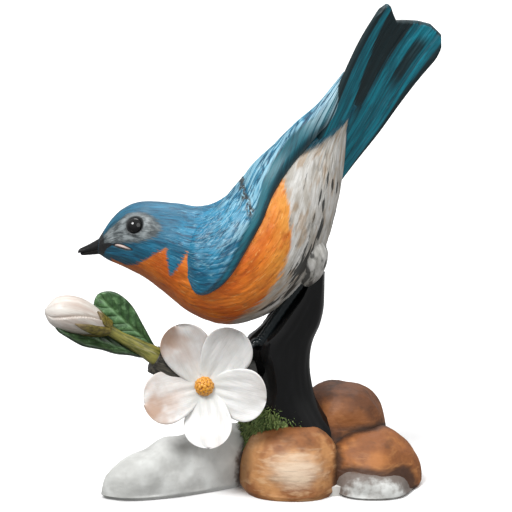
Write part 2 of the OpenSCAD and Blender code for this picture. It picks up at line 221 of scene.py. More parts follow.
def capped(field):
    """A field over a grid of rings, with a value for each of the two poles."""
    field = np.asarray(field, float)
    ends = np.stack([field[0].mean(0), field[-1].mean(0)])
    return np.concatenate([field.reshape(-1, *field.shape[2:]), ends])


def slab(top, under):
    """Points and faces of a closed sheet between two grids."""
    m, n = top.shape[:2]
    k = m * n
    points = np.concatenate([top.reshape(-1, 3), under.reshape(-1, 3)])
    faces = quads(m, n) + [f[::-1] for f in quads(m, n, start=k)]
    for row, turn in ((0, False), ((m - 1) * n, True)):
        for j in range(n - 1):
            f = [row + j, row + j + 1, row + j + 1 + k, row + j + k]
            faces.append(f if turn else f[::-1])
    for col, turn in ((0, True), (n - 1, False)):
        for i in range(m - 1):
            p = i * n + col
            f = [p, p + n, p + n + k, p + k]
            faces.append(f if turn else f[::-1])
    return points, faces


def twice(field):
    """A field over a grid, for a slab's top and underside."""
    field = np.asarray(field, float)
    return np.concatenate([field.reshape(-1, *field.shape[2:])] * 2)


def limb_grid(path, rows, sides, swell=None):
    """Rings round a path of points [x, y, z, radius]; swell(t, angle) scales a ring."""
    t = np.linspace(0, len(path) - 1, rows)
    s = along(path, t)
    way = unit(np.gradient(s[:, :3], axis=0))
    side = unit(np.cross(np.array([0.2, 1, 0.3]), way))
    up = np.cross(side, way)
    a = np.arange(sides) * 360 / sides
    r = s[:, 3][:, None] * (swell(t[:, None], a[None, :]) if swell else 1)
    ring = up[:, None] * cos(a)[None, :, None] + side[:, None] * sin(a)[None, :, None]
    return s[:, None, :3] + ring * r[..., None], t[:, None] + 0 * a, a + 0 * t[:, None]


def join(parts):
    """Several (points, faces) as one."""
    points, faces, start = [], [], 0
    for p, f in parts:
        points.append(p)
        faces += [[i + start for i in face] for face in f]
        start += len(p)
    return np.concatenate(points), faces


# ---- paints ----

class Paint:
    """A node material of painted porcelain, built up wash by wash over the fields of a mesh."""

    def __init__(self, name, rough, coat=0.0, coat_rough=0.08, ior=1.5):
        self.material = bpy.data.materials.new(name)
        self.material.use_nodes = True
        tree = self.material.node_tree
        self.nodes, self.links = tree.nodes, tree.links
        self.shader = self.nodes["Principled BSDF"]
        self.shader.inputs["Coat Weight"].default_value = coat
        self.shader.inputs["Coat Roughness"].default_value = coat_rough
        self.shader.inputs["IOR"].default_value = ior
        self.rough = rough

    def put(self, socket, value):
        if isinstance(value, bpy.types.NodeSocket):
            self.links.new(value, socket)
        elif isinstance(value, (tuple, list)):
            socket.default_value = (*value, 1.0) if len(socket.default_value) == 4 else value
        else:
            socket.default_value = value

    def math(self, kind, a, b=0.0, clamp=False):
        node = self.nodes.new("ShaderNodeMath")
        node.operation = kind
        node.use_clamp = clamp
        self.put(node.inputs[0], a)
        self.put(node.inputs[1], b)
        return node.outputs[0]

    def times(self, a, b):
        return self.math("MULTIPLY", a, b)

    def plus(self, a, b):
        return self.math("ADD", a, b)

    def field(self, name, vector=False):
        node = self.nodes.new("ShaderNodeAttribute")
        node.attribute_name = name
        return node.outputs["Vector" if vector else "Fac"]

    def grain(self, size, detail=3, rough=0.55, seed=0, flow="flow", warp=0.0):
        """Noise along the mesh's flow coordinates, with grains of size mm."""
        size = (size,) * 3 if isinstance(size, (int, float)) else size
        move = self.nodes.new("ShaderNodeVectorMath")
        move.operation = "MULTIPLY_ADD"
        self.put(move.inputs[0], self.field(flow, True))
        move.inputs[1].default_value = [1 / s for s in size]
        move.inputs[2].default_value = [seed * 3.7 + 1.3, seed * 1.9 - 2.1, seed * 2.3 + 0.7]
        node = self.nodes.new("ShaderNodeTexNoise")
        self.put(node.inputs["Vector"], move.outputs[0])
        node.inputs["Scale"].default_value = 1
        node.inputs["Detail"].default_value = detail
        node.inputs["Roughness"].default_value = rough
        node.inputs["Distortion"].default_value = warp
        return node.outputs["Fac"]

    def step(self, value, low, high, to=1.0):
        """0 below low, to above high, and smooth between them; low may be the larger."""
        node = self.nodes.new("ShaderNodeMapRange")
        node.interpolation_type = "SMOOTHSTEP"
        a, b = (low, high) if low < high else (high, low)
        self.put(node.inputs["Value"], value)
        node.inputs["From Min"].default_value = a
        node.inputs["From Max"].default_value = b
        node.inputs["To Min"].default_value = 0 if low < high else to
        node.inputs["To Max"].default_value = to if low < high else 0
        return node.outputs[0]

    def zone(self, name, edge, grain=None, ragged=0.0):
        """Cover of a signed-distance field, with a brushed edge of that width in mm."""
        value = self.field(name)
        if grain is not None:
            value = self.plus(value, self.times(self.plus(grain, -0.5), 2 * ragged))
        return self.step(value, -edge, edge)

    def mix(self, cover, under, over, kind="MIX"):
        node = self.nodes.new("ShaderNodeMix")
        node.data_type = "RGBA"
        node.blend_type = kind
        self.put(node.inputs[0], cover)
        self.put(node.inputs[6], under)
        self.put(node.inputs[7], over)
        return node.outputs[2]

    def finish(self, colour, height=None, deep=0.1, gloss=None, spread=0.06):
        """Joins colour, bump (height times deep mm) and an uneven gloss to the shader."""
        self.put(self.shader.inputs["Base Color"], colour)
        uneven = self.times(self.plus(self.grain(3.0, seed=9), -0.5), 2 * spread)
        base = self.rough if gloss is None else self.plus(gloss, self.rough)
        self.put(self.shader.inputs["Roughness"], self.plus(uneven, base))
        if height is not None:
            bump = self.nodes.new("ShaderNodeBump")
            bump.inputs["Strength"].default_value = 1.0
            bump.inputs["Distance"].default_value = deep * MM
            self.put(bump.inputs["Height"], height)
            self.put(self.shader.inputs["Normal"], bump.outputs[0])
        return self.material


# ---- the bird ----

def bird_frame(t):
    """Centre, up and side of the bird's section at station t, with its half height and half width."""
    s = along(BIRD, t)
    zero = 0 * s[..., 0]
    up0 = np.stack([-sin(s[..., 2]), zero, cos(s[..., 2])], -1)
    level = np.array([0.0, 1.0, 0.0])
    roll = s[..., 5][..., None]
    up = up0 * cos(roll) + level * sin(roll)
    side = -level * cos(roll) + up0 * sin(roll)
    return np.stack([s[..., 0], zero, s[..., 1]], -1), up, side, s[..., 3], s[..., 4]


def bird_point(t, a, out=0.0, keep=1.0):
    """Point of the bird's surface at station t and angle a from the crown to the left side."""
    centre, up, side, high, wide = bird_frame(t)
    keep = np.asarray(keep, float) + 0 * high
    tall = (high + out) * (keep * cos(a) - (1 - keep) * 0.3)
    broad = (wide + out) * keep * sin(a)
    return centre + up * tall[..., None] + side * broad[..., None]


SPINE_T = np.linspace(0, 13, 521)
SPINE = np.concatenate([[0], np.cumsum(np.linalg.norm(np.diff(bird_frame(SPINE_T)[0], axis=0), axis=1))])
ROUND = 0.24   # mm of surface for a degree round the body, on average


def reach(t):
    """Length along the spine to station t, in mm."""
    return np.interp(t, SPINE_T, SPINE)


def flow_of(t, a):
    """Coordinates that run with the plumage: length along the spine, then a circle round it."""
    return np.stack([reach(t), 12 * cos(a), 12 * sin(a)], -1)


def body_zone(outline, t, a):
    """Signed distance in mm to an outline of (station, degrees from the crown), the same on both sides."""
    flat = [(reach(p[0]), p[1] * ROUND) for p in outline]
    return inside(flat, reach(t), np.abs(a) * ROUND)


ORANGE = [(1.16, 190), (1.2, 150), (1.28, 139), (2.08, 146), (2.94, 116), (3.44, 98), (3.88, 83), (4.0, 100),
          (4.12, 117), (4.42, 98), (4.7, 79), (4.84, 95), (5.2, 80), (6.2, 70), (9.6, 70), (9.4, 89),
          (8.94, 109), (8.42, 123), (7.9, 130), (7.36, 137), (6.46, 150), (6.1, 166), (6.0, 190)]
WHITE = [(6.0, 190), (6.1, 166), (6.46, 150), (7.36, 137), (7.9, 130), (8.42, 123), (8.94, 109), (9.4, 89),
         (9.6, 70), (10.0, 78), (10.3, 97), (11.28, 132), (12.12, 174), (12.2, 190)]
MASK = [(0.45, 50), (1.1, 48), (1.72, 45), (2.3, 38), (2.9, 37), (3.3, 41), (3.58, 51), (3.68, 62),
        (3.56, 72), (3.2, 81), (2.76, 88), (2.1, 93), (1.84, 95), (1.3, 95), (0.45, 92)]
GAPE = [(1.5, 95), (1.8, 95.5), (2.1, 97.5), (2.46, 101.5), (2.2, 103.5), (1.8, 102), (1.5, 98.5)]
BILL = [(-0.5, -10), (0.46, -10), (0.5, 50), (0.66, 72), (0.64, 86), (1.3, 92), (1.52, 95.5), (1.15, 99),
        (0.9, 106), (0.74, 118), (0.54, 150), (0.5, 190), (-0.5, 190)]
# soot marks on the white: station, angle, half length and half width in mm, strength
SOOT = [(8.3, 157, 4.0, 2.2, 0.9), (7.9, 148, 3.4, 1.6, 0.8), (9.1, 162, 4.0, 1.0, 0.8),
        (9.65, 158, 1.6, 0.7, 1),
        (10.3, 158, 2.2, 0.5, 1), (10.25, 172, 1.8, 0.8, 1), (9.75, 149, 2.6, 0.4, 0.7),
        (8.9, 143, 5, 0.7, 0.5),
        (7.6, 162, 3.0, 1.2, 0.8), (7.1, 156, 3.0, 0.8, 0.6)]


def eye_distance(points):
    """Distance in mm of the points to the nearer eye's middle."""
    spots = [bird_point(np.array(EYE_AT[0]), np.array(hand * EYE_AT[1])) for hand in (1, -1)]
    return np.minimum(*[np.linalg.norm(points - s, axis=-1) for s in spots])


def plumage_relief(t, flow):
    """Height in mm of the modelled feathers on head, breast and belly."""
    body = smooth(3.4, 5.0, t)
    crown = noise(flow, (3.0, 0.8, 0.8), 1) * 0.05
    drift = flow + 0.8 * noise(flow, 5, 8)[..., None]
    barbs = ridges(drift, (4.5, 0.8, 0.8), 2) * 0.2 + noise(drift, (7, 1.8, 1.8), 3) * 0.12
    return crown * (1 - body) + barbs * (0.25 + 0.75 * body) + noise(flow, 9, 4) * 0.12 * body


def bird_body():
    m, n = 270, 280
    t = np.linspace(0, BODY_END, m)[:, None] + np.zeros((1, n))
    a = np.zeros((m, 1)) + (np.arange(n) * 360 / n - 180)[None]
    keep = 1 - 0.86 * smooth(10, BODY_END, t)
    grid = bird_point(t, a, -0.1, keep)
    out = grid_normals(grid, True)
    out *= np.sign((out * (grid - bird_frame(t)[0])).sum(-1).mean())
    flow = flow_of(t, a)
    far = eye_distance(grid)
    lift = plumage_relief(t, flow) * smooth(2.6, 4.6, far)
    lid = 0.42 * np.exp(-(((far - 2.95) / 0.42) ** 2)) - 0.5 * smooth(2.6, 1.6, far)
    brow = 0.5 * np.exp(-(((far - 4.6) / 1.5) ** 2)) * smooth(80, 50, np.abs(a))
    gape = body_zone(GAPE, t, a)
    crease = -0.3 * np.exp(-((gape / 0.5) ** 2)) + 0.25 * smooth(0, 0.8, gape)
    grid = grid + out * (lift + lid + brow + crease)[..., None]
    soot = sum(w * np.exp(-(((reach(t) - reach(s)) / p) ** 2) - (((np.abs(a) - g) * ROUND / q) ** 2))
               for s, g, p, q, w in SOOT)
    fields = {"flow": flow, "orange": body_zone(ORANGE, t, a), "white": body_zone(WHITE, t, a),
              "mask": body_zone(MASK, t, a), "gape": gape, "bill": body_zone(BILL, t, a), "soot": soot,
              "lift": lift, "station": t, "low": np.abs(a) / 180, "far": far}
    points, faces = skin(grid)
    add_piece("painted_body", points, faces, {k: capped(v) for k, v in fields.items()}, bird_paint(),
              "bird_body", "bird_paint")


CROWN, NAPE, BACK, MANTLE = (0.004, 0.09, 0.14), (0.002, 0.11, 0.2), (0.03, 0.29, 0.48), (0.008, 0.19, 0.34)
PALE_BLUE, DEEP_BLUE = (0.36, 0.68, 0.78), (0.001, 0.045, 0.1)


def blues(p):
    """The blue of the upper parts: washes from crown to back, deep strokes and pale hairlines."""
    wash = p.step(p.field("station"), 2.8, 5.4)
    blue = p.mix(p.step(p.field("station"), 1.6, 3.4), CROWN, NAPE)
    blue = p.mix(p.step(p.grain((9, 3, 3), seed=1), 0.4, 0.64), blue, p.mix(wash, NAPE, MANTLE))
    blue = p.mix(p.step(p.grain((12, 5, 5), seed=13), 0.46, 0.66, 0.7), blue, p.mix(wash, MANTLE, BACK))
    blue = p.mix(p.step(p.grain((4, 0.5, 0.5), detail=4, seed=2, warp=0.3), 0.52, 0.36, 0.8), blue, DEEP_BLUE)
    hair = p.step(p.grain((2.6, 0.24, 0.24), detail=2, seed=3, warp=0.5), 0.56, 0.68)
    hair = p.times(hair, p.step(p.grain((5, 3, 3), seed=14), 0.36, 0.6))
    return p.mix(p.times(hair, p.plus(p.times(wash, 0.4), 0.06)), blue, PALE_BLUE)


def bird_paint():
    p = Paint("bird_paint", rough=0.48, coat=0.06, coat_rough=0.3)
    stroke = p.grain((5, 0.5, 0.5), detail=3, seed=4)
    fine = p.grain((3.4, 0.28, 0.28), detail=2, seed=5)
    colour = blues(p)
    # grey face with a darker back and top
    grey = p.mix(p.step(p.grain((3, 1.6, 1.6), seed=6), 0.38, 0.64), (0.07, 0.085, 0.09), (0.3, 0.34, 0.35))
    grey = p.mix(p.step(p.field("mask"), 2.4, 0.0, 0.7), grey, (0.035, 0.055, 0.065))
    hairs = p.step(p.grain((1.6, 0.26, 0.26), seed=15, warp=0.6), 0.56, 0.7, 0.4)
    grey = p.mix(hairs, grey, (0.5, 0.53, 0.53))
    grey = p.mix(p.step(p.field("far"), 3.3, 2.5, 0.9), grey, (0.01, 0.012, 0.014))
    colour = p.mix(p.zone("mask", 0.7, stroke, 1.6), colour, grey)
    # orange breast and flank
    orange = p.mix(p.step(p.grain((9, 4, 4), seed=7), 0.38, 0.66), (0.66, 0.13, 0.005), (0.84, 0.22, 0.014))
    flank = p.times(p.step(p.field("station"), 6.0, 8.2), p.step(p.field("orange"), 8.0, 2.0))
    flank = p.times(flank, p.step(p.grain((8, 3, 3), seed=16), 0.3, 0.55, 0.8))
    orange = p.mix(flank, orange, (0.84, 0.36, 0.05))
    orange = p.mix(p.step(p.field("station"), 4.4, 2.6, 0.5), orange, (0.68, 0.15, 0.01))
    orange = p.mix(p.step(p.grain((5, 1.4, 1.4), seed=8), 0.46, 0.3, 0.5), orange, (0.4, 0.07, 0.002))
    comma = p.step(p.grain((2.6, 0.36, 0.36), detail=2, seed=17, warp=0.8), 0.6, 0.7, 0.5)
    orange = p.mix(comma, orange, (0.26, 0.045, 0.002))
    light = p.step(p.grain((2.4, 0.34, 0.34), detail=2, seed=18, warp=0.8), 0.6, 0.72, 0.55)
    orange = p.mix(light, orange, (0.93, 0.5, 0.15))
    # white belly and undertail, with warm and sooty streaks
    white = p.mix(p.step(p.grain((7, 3, 3), seed=11), 0.38, 0.62), (0.44, 0.41, 0.36), (0.66, 0.65, 0.62))
    rim_near = p.step(p.field("white"), 6.0, 0.0, 0.12)
    warm = p.step(p.plus(p.grain((7, 2, 2), seed=12), rim_near), 0.52, 0.68, 0.6)
    white = p.mix(warm, white, (0.4, 0.26, 0.14))
    white = p.mix(p.step(fine, 0.55, 0.72, 0.3), white, (0.75, 0.74, 0.72))
    soot = p.step(p.plus(p.field("soot"), p.times(p.plus(stroke, -0.5), 2.4)), 0.36, 0.6, 0.92)
    white = p.mix(soot, white, (0.018, 0.02, 0.018))
    # the orange runs on under the edge of the white
    seam = p.times(p.step(p.field("white"), -2.0, -0.8), p.step(p.field("orange"), -2.6, -1.4))
    colour = p.mix(p.math("MAXIMUM", p.zone("orange", 0.25, fine, 1.8), seam), colour, orange)
    rim = p.times(p.step(p.field("orange"), -0.9, -0.2, 0.5), p.step(p.field("orange"), 0.5, 0.1))
    rim = p.times(rim, p.step(p.field("white"), -1.5, -3.5))
    colour = p.mix(p.times(rim, p.step(fine, 0.4, 0.6)), colour, (0.02, 0.09, 0.12))
    rear = p.mix(p.step(stroke, 0.4, 0.62), (0.002, 0.07, 0.11), (0.005, 0.16, 0.24))
    back_end = p.step(p.plus(p.field("station"), p.times(stroke, 0.4)), 10.1, 10.6)
    rump = p.times(back_end, p.step(p.field("low"), 0.3, 0.4))
    colour = p.mix(p.math("MAXIMUM", rump, p.step(p.field("station"), 11.2, 11.6)), colour, rear)
    colour = p.mix(p.zone("white", 0.9, stroke, 2.4), colour, white)
    # beak root and gape
    colour = p.mix(p.zone("bill", 0.3, stroke, 0.5), colour, (0.008, 0.009, 0.01))
    line = p.times(p.step(p.field("gape"), -0.8, -0.4, 0.9), p.step(p.field("gape"), 0.3, 0.0))
    colour = p.mix(line, colour, (0.01, 0.011, 0.012))
    colour = p.mix(p.zone("gape", 0.2), colour, (0.66, 0.52, 0.47))
    shade = p.step(p.field("lift"), 0.1, -0.06, 0.35)
    colour = p.mix(shade, colour, (0.35, 0.35, 0.35), "MULTIPLY")
    height = p.plus(p.times(fine, 0.6), p.times(stroke, 0.8))
    return p.finish(colour, height, 0.16, p.step(p.field("bill"), -0.2, 0.3, -0.3))


def wing_shape(hand):
    """Grid of stations, angles, share across and thickness of a folded wing."""
    m, n = 290, 190
    rows = along(WING, np.linspace(0, len(WING) - 1, m))[:, None]
    v = np.linspace(0, 1, n)[None] + np.zeros((m, 1))
    t = rows[..., 0] + 0 * v
    # the far wing's tip stays on the back of the rolled tail
    low = rows[..., 1]
    if hand < 0:
        low = np.where(rows[..., 0] > FAR_TIP_FROM, np.minimum(low, FAR_TIP_LOW), low)
    a = hand * (low + (rows[..., 2] - low) * v)
    swell = WING_T * rows[..., 3] * (0.45 + 0.55 * sin(180 * np.minimum(1, v * 1.4 + 0.12)))
    return t, a, v, swell


def wing(hand, name, node):
    t, a, v, thick = wing_shape(hand)
    u = np.linspace(0, 1, t.shape[0])[:, None] + 0 * v
    base = bird_point(t, a)
    out = grid_normals(base)
    out *= np.sign((out * (base - bird_frame(t)[0])).sum(-1).mean())
    flow = flow_of(t, a)
    width = np.linalg.norm(np.diff(base, axis=1), axis=-1).sum(1)[:, None]
    edge = v * width                       # mm from the lower edge
    upper = (1 - v) * width                # mm from the upper edge
    start = (t - t[:1]) * 8.6              # mm from the shoulder
    # the lower edge is a rounded rim; the others sink into the back
    rim = np.sqrt(np.clip(1 - (1 - np.clip(edge / 1.5, 0, 1)) ** 2, 0.02, 1))
    fade = smooth(0, 7, upper) * smooth(0, 8, start + 0.5 * edge)
    lift = thick * rim * (0.15 + 0.85 * fade)
    band = 0.01 + 0.11 * smooth(0.05, 0.3, u) + 0.15 * smooth(0.35, 0.7, u) - 0.18 * smooth(0.8, 1, u)
    band = band * width
    coverts = 8.0 + 0.5 * (v - 0.3) - 0.25 * np.abs((v * 5.2) % 1 - 0.5)
    vane = smooth(-0.5, 0.7, edge - band)
    drift = flow + [0, 0.5, 0.5] * noise(flow, 6, 9)[..., None]
    comb = ridges(drift, (13, 0.62, 0.62), 5) * 0.26
    fan = ridges(np.stack([flow[..., 0] * 0.4 + v * 9, v * 26 + u * 3, v * 0], -1), (3.2, 1, 1), 6) * 0.2
    comb = np.where(t > coverts, comb, 0.5 * comb + 0.6 * fan)
    scale = -0.35 * smooth(0, 0.1, t - coverts) * vane * smooth(1.0, 0.72, v)
    relief = vane * (0.3 + comb) + scale
    relief = relief * smooth(0.1, 3, upper) * smooth(0, 5, start + 0.15 * edge)
    top = base + out * (lift + relief - 0.1)[..., None]
    under = base - out * (0.6 + 0 * v)[..., None]
    fields = {"flow": flow, "station": t, "vane": edge - band, "comb": comb * 4,
              "covert": (t - coverts) * 8.6, "edge": edge, "across": v, "run": u, "upper": upper}
    points, faces = slab(top, under)
    add_piece(name, points, faces, {k: twice(f) for k, f in fields.items()}, bpy.data.materials["wing_paint"],
              node, "wing_blue")


def wing_paint():
    p = Paint("wing_paint", rough=0.42, coat=0.1, coat_rough=0.28)
    fine = p.grain((6, 0.26, 0.26), detail=2, seed=5)
    run, vane = p.field("run"), p.field("vane")
    colour = blues(p)
    # the combed vanes: deep blue between whitish lines
    far = p.step(run, 0.12, 0.4)
    vanes = p.mix(p.times(far, p.step(p.field("comb"), 0.5, 0.1, 0.85)), colour, DEEP_BLUE)
    ridge = p.step(p.plus(p.field("comb"), p.times(p.plus(fine, -0.5), 1.6)), 0.55, 1.0, 0.62)
    vanes = p.mix(p.times(far, ridge), vanes, (0.38, 0.7, 0.84))
    # the smooth outer band: dark teal with paler streaks, and painted shade darkening it where it turns under
    # at the lower edge
    washes = p.step(p.grain((14, 1.6, 1.6), seed=21), 0.4, 0.62)
    band = p.mix(washes, (0.002, 0.05, 0.075), (0.005, 0.13, 0.175))
    band = p.mix(p.step(fine, 0.56, 0.7, 0.35), band, (0.06, 0.33, 0.42))
    band = p.mix(p.step(run, 0.34, 0.08), band, colour)
    # painted shade: darker within 1.4 mm of the lower edge, where the rounded rim turns under
    band = p.mix(p.times(p.step(p.field("edge"), 1.4, 0.3, 0.7), far), band, (0.003, 0.03, 0.045))
    colour = p.mix(p.step(p.plus(vane, p.times(p.plus(fine, -0.5), 1.4)), -0.4, 0.5), band, vanes)
    # dark covert tips with a few pale dashes
    tips = p.times(p.step(p.field("covert"), -2.2, -0.4), p.step(p.field("covert"), 1.8, 0.7))
    tips = p.times(tips, p.step(p.grain((1.8, 1.3, 1.3), seed=22), 0.36, 0.46, 0.95))
    tips = p.times(tips, p.times(p.step(vane, -0.2, 0.8), p.step(p.field("across"), 0.92, 0.8)))
    colour = p.mix(tips, colour, (0.006, 0.014, 0.016))
    dash = p.times(tips, p.step(p.grain((0.8, 0.5, 0.5), seed=23), 0.62, 0.68, 0.8))
    colour = p.mix(dash, colour, (0.5, 0.6, 0.62))
    # painted highlight: pale streaks along the lower edge of the long feathers beside the tail
    streak = p.times(p.step(run, 0.66, 0.86), p.step(p.grain((34, 0.7, 0.7), seed=24), 0.47, 0.56, 0.85))
    colour = p.mix(p.times(streak, p.step(p.field("edge"), 7.0, 1.0)), colour, (0.5, 0.74, 0.84))
    height = p.plus(p.times(fine, 0.7), p.times(p.grain((4, 0.6, 0.6), seed=25), 0.6))
    return p.finish(colour, p.times(height, p.plus(p.step(vane, -0.5, 0.5, 0.6), 0.4)), 0.18)


def tail_frame(u):
    s = along(TAIL, u * (len(TAIL) - 1))
    zero = 0 * s[..., 0]
    way = np.stack([cos(s[..., 2]), zero, sin(s[..., 2])], -1)
    up0 = np.stack([-sin(s[..., 2]), zero, cos(s[..., 2])], -1)
    level = np.array([0.0, 1.0, 0.0])
    roll = s[..., 4][..., None]
    up = up0 * cos(roll) + level * sin(roll)
    side = -level * cos(roll) + up0 * sin(roll)
    return np.stack([s[..., 0], zero, s[..., 1]], -1), way, up, side, s[..., 3], s[..., 5]


def tail():
    m, n = 190, 120
    u = np.linspace(0, 1, m)[:, None] + np.zeros((1, n))
    v = np.linspace(-1, 1, n)[None] + np.zeros((m, 1))
    centre, way, up, side, wide, arch = tail_frame(u)
    size = np.abs(v)
    end = np.asarray(TAIL_END)
    lobe = np.interp(v, end[:, 0], end[:, 1]) * u * u
    middle = centre + way * lobe[..., None] + side * (wide * v)[..., None]
    middle = middle + up * (arch * (1 - v * v))[..., None]
    rim = np.minimum((1 - size) * wide, (1 - u) * 55)
    half = TAIL_T / 2 * np.sqrt(np.clip(1 - (1 - np.clip(rim / 1.3, 0, 1)) ** 2, 0.03, 1))
    flow = np.stack([u * 50, v * 12, 0 * v], -1)
    # overlapping feathers: each vane falls away from its shaft towards the next one
    feather = size * 4.2 + 0.25 * noise(flow, (30, 8, 1), 2)
    part = feather % 1
    step = 0.34 * (1 - part) * smooth(0, 0.08, part) + 0.12 * np.exp(-(((part - 0.45) / 0.06) ** 2))
    barbs = ridges(np.stack([u * 50 - size * 9, v * 12, 0 * v], -1), (5, 0.7, 1), 3) * 0.12
    carve = (step + barbs - 0.12) * smooth(0, 1.5, rim)
    top = middle + up * (half + carve)[..., None]
    under = middle - up * (half + carve)[..., None]
    fields = {"flow": flow, "run": u, "across": v, "rim": rim, "part": part, "barb": barbs * 8}
    points, faces = slab(top, under)
    add_piece("painted_tail", points, faces, {k: twice(f) for k, f in fields.items()}, tail_paint(), "tail",
              "tail_teal")


def tail_paint():
    p = Paint("tail_paint", rough=0.45)
    fine = p.grain((6, 0.26, 1), detail=2, seed=1)
    stroke = p.grain((12, 0.8, 1), seed=2)
    across, run = p.field("across"), p.field("run")
    teal = p.mix(p.step(stroke, 0.38, 0.64), (0.001, 0.11, 0.155), (0.002, 0.25, 0.34))
    teal = p.mix(p.step(p.grain((20, 3, 1), seed=3), 0.5, 0.7, 0.45), teal, (0.015, 0.24, 0.34))
    teal = p.mix(p.step(fine, 0.58, 0.74, 0.3), teal, (0.12, 0.36, 0.44))
    teal = p.mix(p.step(p.field("part"), 0.14, 0.02, 0.6), teal, (0.002, 0.03, 0.045))
    # black: a streak that widens from the root to the notch, a patch on the right lobe and both edges
    jitter = p.times(p.plus(stroke, -0.5), 0.3)
    middle = p.plus(p.times(run, 0.36), -0.02)
    off = p.math("ABSOLUTE", p.plus(p.plus(across, jitter), p.times(middle, -1)))
    spread = p.plus(p.times(p.math("POWER", run, 1.4), 0.4), 0.04)
    black = p.times(p.step(p.plus(spread, p.times(off, -1)), -0.03, 0.05, 0.96), p.step(run, 0.3, 0.5))
    off = p.math("ABSOLUTE", p.plus(p.plus(across, jitter), 0.5))
    patch = p.times(p.step(off, 0.16, 0.08, 0.9), p.times(p.step(run, 0.55, 0.7), p.step(run, 0.95, 0.86)))
    edge = p.step(p.plus(p.math("ABSOLUTE", across), p.times(jitter, 0.5)), 0.84, 0.9, 0.95)
    edge = p.times(edge, p.step(run, 0.16, 0.3))
    tip = p.step(p.plus(p.field("rim"), p.times(jitter, 5)), 1.6, 0.7, 0.85)
    dark = p.math("MAXIMUM", p.math("MAXIMUM", black, edge), p.math("MAXIMUM", tip, patch))
    colour = p.mix(dark, teal, (0.004, 0.013, 0.015))
    colour = p.mix(p.step(fine, 0.62, 0.78, 0.2), colour, (0.1, 0.2, 0.22))
    return p.finish(colour, p.plus(fine, stroke), 0.16)


def beak():
    paint = ink_glaze("beak_glaze", 0.2)
    for name, node, way in (("glazed_upper_beak", "beak_upper", 1), ("glazed_lower_beak", "beak_lower", -1)):
        m, n = 60, 48
        w = np.linspace(0, 1, m)
        s = along(BEAK, w * (len(BEAK) - 1))
        # the mandible is rounded off at its tip, and the lower one is a little shorter and slimmer
        shrink = np.sqrt(np.clip(1 - np.clip((w - 0.86) / 0.14, 0, 1) ** 2, 0.01, 1))
        r = s[:, 3] * shrink * (1 if way > 0 else 0.84)
        x = s[:, 0] + (0 if way > 0 else 0.8 * w)
        a = np.arange(n) * 360 / n
        tall = np.where(sin(a) > 0, sin(a), 0.1 * sin(a)) * way
        culmen = 1 + 0.12 * np.clip(sin(a), 0, 1) ** 6 * (way > 0)
        grid = np.stack([x[:, None] + 0 * a, r[:, None] * 0.92 * cos(a),
                         s[:, 2][:, None] + 0.02 * way + r[:, None] * tall * culmen], -1)
        points, faces = skin(grid)
        add_piece(name, points, faces, {}, paint, node, "beak_black")


def eye(hand, name, node):
    m, n = 22, 40
    at = np.array(EYE_AT[0]), np.array(hand * EYE_AT[1])
    middle = bird_point(*at, -0.25)
    way = unit(bird_point(*at, 1.0) - bird_point(*at, 0.0))
    side = unit(np.cross(way, [0, 0, 1]))
    up = np.cross(side, way)
    b = np.linspace(-25, 88, m)[:, None]
    a = (np.arange(n) * 360 / n)[None]
    ring = side * cos(a)[..., None] + up * sin(a)[..., None]
    grid = middle + EYE_R * (ring * cos(b)[..., None] + way * (0.62 * sin(b))[..., None])
    points, faces = skin(grid)
    add_piece(name, points, faces, {}, bpy.data.materials["eye_glaze"], node, "eye_black")


def ink_glaze(name, rough, tint=(0.002, 0.0022, 0.0025)):
    """Glossy black glaze of a given tint, with faint lighter streaks of painted sheen."""
    p = Paint(name, rough=rough, coat=0.3, coat_rough=0.05, ior=1.35)
    sheen_streaks = p.grain((3, 3, 9), seed=1)
    # painted sheen: the streaks lighten the glaze to twice its tint
    colour = p.mix(p.step(sheen_streaks, 0.45, 0.75, 0.6), tint, tuple(2 * c + 0.002 for c in tint))
    return p.finish(colour, p.plus(sheen_streaks, p.times(p.grain(0.8, seed=2), 0.2)), 0.14, spread=0.1)


def thigh(hand, name, node):
    path = [[x, -hand * y, z, r] for x, y, z, r in THIGH]
    grid, t, a = limb_grid(path, 60, 64)
    flow = np.stack([t * 6, 4 * cos(a), 4 * sin(a)], -1)
    out = grid_normals(grid, True)
    out *= np.sign((out * (grid - grid.mean(1, keepdims=True))).sum(-1).mean())
    grid = grid + out * (ridges(flow, (5, 1.1, 1.1), 3) * 0.22 - 0.1)[..., None]
    points, faces = skin(grid)
    add_piece(name, points, faces, {"flow": capped(flow), "run": capped(t / 3)},
              bpy.data.materials["thigh_paint"], node, "thigh_white")


def thigh_paint():
    p = Paint("thigh_paint", rough=0.5, coat=0.1, coat_rough=0.3)
    fine = p.grain((4, 0.5, 0.5), seed=1)
    colour = p.mix(p.step(p.grain((6, 2.4, 2.4), seed=2), 0.38, 0.62), (0.36, 0.35, 0.32), (0.64, 0.63, 0.6))
    soot = p.step(p.plus(p.grain((5, 1.8, 1.8), seed=3), p.times(p.field("run"), 0.16)), 0.58, 0.72, 0.85)
    colour = p.mix(soot, colour, (0.02, 0.02, 0.018))
    return p.finish(colour, fine, 0.2)


